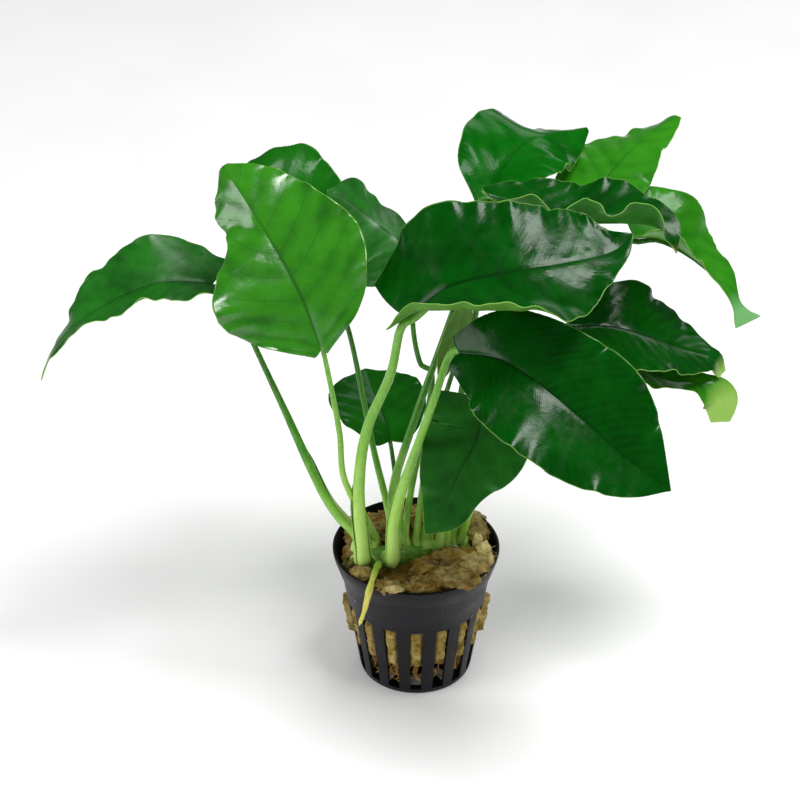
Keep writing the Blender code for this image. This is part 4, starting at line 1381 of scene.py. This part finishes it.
    def add_heap(self, bm: Shape, heap: Heap, layer: Any) -> None:
        """Adds one heap or torn tuft.

        Args:
            bm: Shape of the plug.
            heap: Its place and size.
            layer: The attribute that says how torn a place is.
        """
        made = bmesh.ops.create_icosphere(bm, subdivisions=5, radius=1.0)["verts"]
        for vert in made:
            way = vert.co.copy()
            spot = heap.spot(way)
            spike = heap.torn * max(way.z, 0.0) * (0.7 + rough_at(spot, 1.3)) * 1.3
            swell = 1 + 0.42 * self.tear(spot, 3.2)
            swell += 0.16 * rough_at(spot, 0.9) + 0.07 * rough_at(spot, 0.4)
            vert.co = heap.spot(way, swell) + Vector((0.0, 0.0, spike))
            vert[layer] = max(heap.torn * (0.55 + 0.8 * way.z) + 0.3 * rough_at(spot, 1.5), 0.0)

    def add_threads(self, bm: Shape, layer: Any) -> None:
        """Adds loose threads that stick out of the torn places.

        Args:
            bm: Shape of the plug.
            layer: The attribute that says how torn a place is.
        """
        draw = random.Random(self.thread_seed)
        for _ in range(self.threads):
            heap = draw.choice(self.heaps)
            yaw, lift = draw.uniform(0, TURN), draw.uniform(0.1, 1.4)
            way = Vector((cos(yaw) * cos(lift), sin(yaw) * cos(lift), sin(lift)))
            start = heap.spot(way)
            side = Vector((draw.uniform(-1, 1), draw.uniform(-1, 1), draw.uniform(-0.4, 0.6)))
            middle = start + way * draw.uniform(0.1, 0.7) + side * 0.7
            points = smooth_path((start - way * 0.5, middle, middle + side * draw.uniform(0.3, 1.4)),
                                 self.thread_points)
            old = len(bm.verts)
            Tube(points, [self.thread_radius] * self.thread_points, 3).grow(bm)
            bm.verts.ensure_lookup_table()
            shade = draw.uniform(*self.thread_shades)
            for index in range(old, len(bm.verts)):
                bm.verts[index][layer] = shade


@dataclass
class NurseryPot:
    """The moulded pot: a turned shell with a flared collar, upright slots and a pierced floor."""

    slots: int = 16
    segments: int = 192
    height: float = 48.0
    rim: float = 27.5
    collar_foot: float = 25.4
    collar_height: float = 39.5
    body_top: float = 24.7
    base: float = 18.7
    chamfer: float = 0.7
    edge: float = 0.3
    wall_thickness: float = 1.0
    floor: float = 1.3
    slot_bottom: float = 2.0
    slot_top: float = 28.5
    drain_inner: float = 8.5
    drain_outer: float = 15.5
    drains: int = 8
    rim_band: Pair = (2.6, 1.2)  # how far below the rim its upright band starts and ends
    softening: float = 0.16
    softened_from: float = 50.0

    def wall(self, z: float) -> float:
        """Returns the outer radius of the straight wall at a height."""
        return self.base + (self.body_top - self.base) * z / self.collar_height

    def open_window(self, bm: Shape, low: Pair, high: Pair, centre: float,
                    half_turn: float) -> None:
        """Cuts one window through both skins and closes its sides.

        Args:
            bm: Shape of the pot.
            low: Smallest radius and height of the faces that go.
            high: Largest radius and height of them.
            centre: Angle of the window from the front.
            half_turn: Half of its width as an angle.
        """
        doomed = []
        for face in bm.faces:
            middle = face.calc_center_median()
            turn = degrees(atan2(middle.x, -middle.y))
            away = (turn - centre + 180) % 360 - 180
            if (low[0] < hypot(middle.x, middle.y) < high[0] and low[1] < middle.z < high[1]
                    and abs(away) < half_turn):
                doomed.append(face)
        bmesh.ops.delete(bm, geom=doomed, context="FACES")
        bmesh.ops.bridge_loops(bm, edges=[edge for edge in bm.edges if edge.is_boundary])

    def build(self) -> Piece:
        """Makes the pot.

        Returns:
            The finished piece.
        """
        seam, wall = self.wall(self.collar_height), self.wall_thickness
        band, lip = self.rim_band
        profile = [(0.0, 0.0), (self.drain_inner, 0.0), (self.drain_outer, 0.0),
                   (self.base - self.chamfer, 0.0), (self.base - self.chamfer * 0.3, self.chamfer * 0.3),
                   (self.base, self.chamfer), (self.wall(self.slot_bottom), self.slot_bottom),
                   (self.wall(self.slot_top), self.slot_top), (seam, self.collar_height - self.edge),
                   (seam + self.edge, self.collar_height),
                   (self.collar_foot, self.collar_height + self.edge),
                   (self.rim - self.edge, self.height - band), (self.rim, self.height - lip),
                   (self.rim, self.height - self.edge), (self.rim - self.edge, self.height),
                   (self.rim - wall + self.edge, self.height), (self.rim - wall, self.height - self.edge),
                   (seam - wall + self.edge, self.collar_height),
                   (self.wall(self.slot_top) - wall, self.slot_top),
                   (self.wall(self.slot_bottom) - wall, self.slot_bottom), (self.drain_outer, self.floor),
                   (self.drain_inner, self.floor), (0.0, self.floor)]
        bm = bmesh.new()
        turn_profile(bm, profile, self.segments)
        inside = self.base - 2 * wall
        for k in range(self.slots):
            self.open_window(bm, (inside, self.slot_bottom), (self.rim, self.slot_top),
                             k * 360 / self.slots, 90 / self.slots)
        for k in range(self.drains):
            self.open_window(bm, (self.drain_inner, -self.floor), (self.drain_outer, 2 * self.floor),
                             k * 360 / self.drains, 90 / self.drains)
        bmesh.ops.recalc_face_normals(bm, faces=bm.faces)
        pot = to_object("slotted_pot", bm, (MouldedPlastic().build(),))
        soften = pot.modifiers.new("Moulded edges", "BEVEL")
        soften.width = self.softening * MM
        soften.segments = 2
        soften.limit_method = "ANGLE"
        soften.angle_limit = radians(self.softened_from)
        hand_over(pot, "net_pot")
        return pot


@dataclass
class Roots:
    """The root that hangs over the rim and the feeding roots in the bottom of the pot."""

    rim_line: tuple[Triple, ...] = (
        (-12.0, -12.0, 49.0), (-12.8, -17.0, 50.8), (-14.0, -22.8, 50.9), (-15.4, -25.9, 47.0),
        (-16.8, -25.9, 40.0), (-18.6, -25.2, 33.5))
    rim_radii: Pair = (1.1, 0.5)
    rim_rings: int = 70
    ends: tuple[tuple[Pair, Pair], ...] = (  # where each root leaves the wool and reaches the floor
        ((-8.0, -13.5), (-4.0, -15.0)), ((1.0, -12.0), (3.5, -15.5)), ((11.0, -9.0), (13.5, -8.0)),
        ((-13.0, 5.0), (-14.5, 2.0)), ((6.0, 12.0), (2.0, 14.5)))
    radius: float = 0.6
    top: float = 7.8
    bend: float = 1.5
    floor: float = 1.3
    strands: int = 16
    strand_levels: tuple[Pair, ...] = ((10.5, 13.0), (6.0, 9.0), (2.6, 4.5))
    strand_spread: float = 36.0
    strand_sway: float = 9.0
    strand_size: Pair = (0.18, 0.5)
    reach: float = 17.6
    reach_rise: float = 0.15

    def build(self) -> None:
        """Makes all roots."""
        self.build_rim_root()
        skin = OLD_ROOT_SKIN.build()
        for number, (upper, lower) in enumerate(self.ends, start=1):
            self.build_bottom_root(number, upper, lower, skin)

    def build_rim_root(self) -> None:
        """Makes the root over the rim, swollen here and there and pointed at its end."""
        first, last = self.rim_radii
        places = [i / (self.rim_rings - 1) for i in range(self.rim_rings)]
        swollen = [1 + 0.1 * sin(14 * t) - 0.08 * cos(31 * t) for t in places]
        radii = [(last + (first - last) * (1 - t ** 3)) * swell * (1 - 0.85 * step_up(t, 0.93, 1.0))
                 for t, swell in zip(places, swollen)]
        bm = bmesh.new()
        Tube(smooth_path(self.rim_line, self.rim_rings), radii, 16).grow(bm)
        root = to_object("rim_root", bm, (RIM_ROOT_SKIN.build(),))
        hand_over(root, "root_over_rim")

    def build_bottom_root(self, number: int, upper: Pair, lower: Pair, skin: Material) -> None:
        """Makes one feeding root with its fine strands.

        Args:
            number: Its number.
            upper: Where it leaves the wool.
            lower: Where it reaches the floor.
            skin: Its material.
        """
        draw = random.Random(number)
        high = Vector((*upper, self.top + 3.5))
        low = Vector((*lower, self.floor + self.radius + GAP))
        knee = high.lerp(low, 0.5) + Vector((self.bend, 0.0, 0.0))
        bm = bmesh.new()
        radii = [self.radius * (1 - 0.5 * step_up(i / 23, 0.75, 1.0)) for i in range(24)]
        Tube(smooth_path((high, knee, low), 24), radii, 10).grow(bm)
        middle = degrees(atan2(lower[0], -lower[1]))
        for _ in range(self.strands):
            points = []
            turn = middle + draw.uniform(-self.strand_spread, self.strand_spread)
            for z in [draw.uniform(*level) for level in self.strand_levels]:
                reach = self.reach + self.reach_rise * z - draw.uniform(0.6, 2.4)
                angle = radians(turn + draw.uniform(-self.strand_sway, self.strand_sway))
                points.append(Vector((sin(angle) * reach, -cos(angle) * reach, z)))
            size = draw.uniform(*self.strand_size)
            Tube(smooth_path(points, 14), [size * (1 - 0.5 * i / 13) for i in range(14)], 6).grow(
                bm, start=draw.uniform(0.1, 0.5), end=draw.uniform(0.6, 1.0))
        root = to_object("feeding_root_" + str(number), bm, (skin,))
        hand_over(root, "root_bottom_" + str(number))


@dataclass
class Studio:
    """The pale floor, the soft lights and the camera."""

    camera_place: Triple = (-5.3, -590.0, 472.7)
    camera_pitch: float = 32.0
    lens: float = 99.0
    sensor: float = 36.0
    floor_size: float = 6000.0
    # Each light's name, azimuth, height as an angle, distance, width and power in watts.
    lights: tuple[tuple[str, float, float, float, float, float], ...] = (
        ("key_overhead", 62.0, 70.0, 900.0, 400.0, 7.6),
        ("left_window", -70.0, 18.0, 900.0, 500.0, 3.0),
        ("back_screen", 160.0, 28.0, 1100.0, 500.0, 1.0),
    )
    target: Triple = (0.0, 0.0, 115.0)
    sky: float = 0.52
    dark_flags: float = 0.1  # what gloss mirrors of the sky, as from dark cloths round the set
    near: float = 0.01

    def build(self) -> None:
        """Sets the stage."""
        bm = bmesh.new()
        bmesh.ops.create_grid(bm, x_segments=2, y_segments=2, size=self.floor_size / 2)
        floor = to_object("studio_floor", bm, (StudioFloor().build(),))
        for name, azimuth, lift, distance, size, power in self.lights:
            lamp = bpy.data.lights.new(name, "AREA")
            lamp.shape = "DISK"
            lamp.size = size * MM
            lamp.energy = power
            way = facing_direction(azimuth, lift)
            light = bpy.data.objects.new(name, lamp)
            light.location = (Vector(self.target) + way * distance) * MM
            light.rotation_euler = way.to_track_quat("Z", "Y").to_euler()
            bpy.context.scene.collection.objects.link(light)
        world = bpy.data.worlds.new("studio_white")
        world.use_nodes = True
        tree = world.node_tree
        path = add_node(tree, "LightPath").outputs["Is Glossy Ray"]
        strength = add_node(tree, "MapRange", path, (0.0, 1.0, self.sky, self.dark_flags))
        tree.links.new(strength.outputs[0], tree.nodes["Background"].inputs["Strength"])
        tree.nodes["Background"].inputs["Color"].default_value = (1.0, 1.0, 1.0, 1.0)
        bpy.context.scene.world = world
        bpy.context.scene.view_settings.view_transform = "Standard"
        eye = bpy.data.cameras.new("front_camera")
        eye.lens = self.lens
        eye.sensor_width = self.sensor
        eye.clip_start = self.near
        camera = bpy.data.objects.new("front_camera", eye)
        camera.location = Vector(self.camera_place) * MM
        camera.rotation_euler = (radians(90 - self.camera_pitch), 0.0, 0.0)
        bpy.context.scene.collection.objects.link(camera)
        bpy.context.scene.camera = camera


def main() -> None:
    """Builds every piece of the plant and the studio around it."""
    logging.basicConfig(level=logging.INFO, format="%(message)s")
    NurseryPot().build()
    WoolPlug().build()
    stem = CreepingStem()
    stem.build()
    Foliage(LEAVES, stem).build()
    Roots().build()
    Studio().build()


if __name__ == "__main__":
    main()
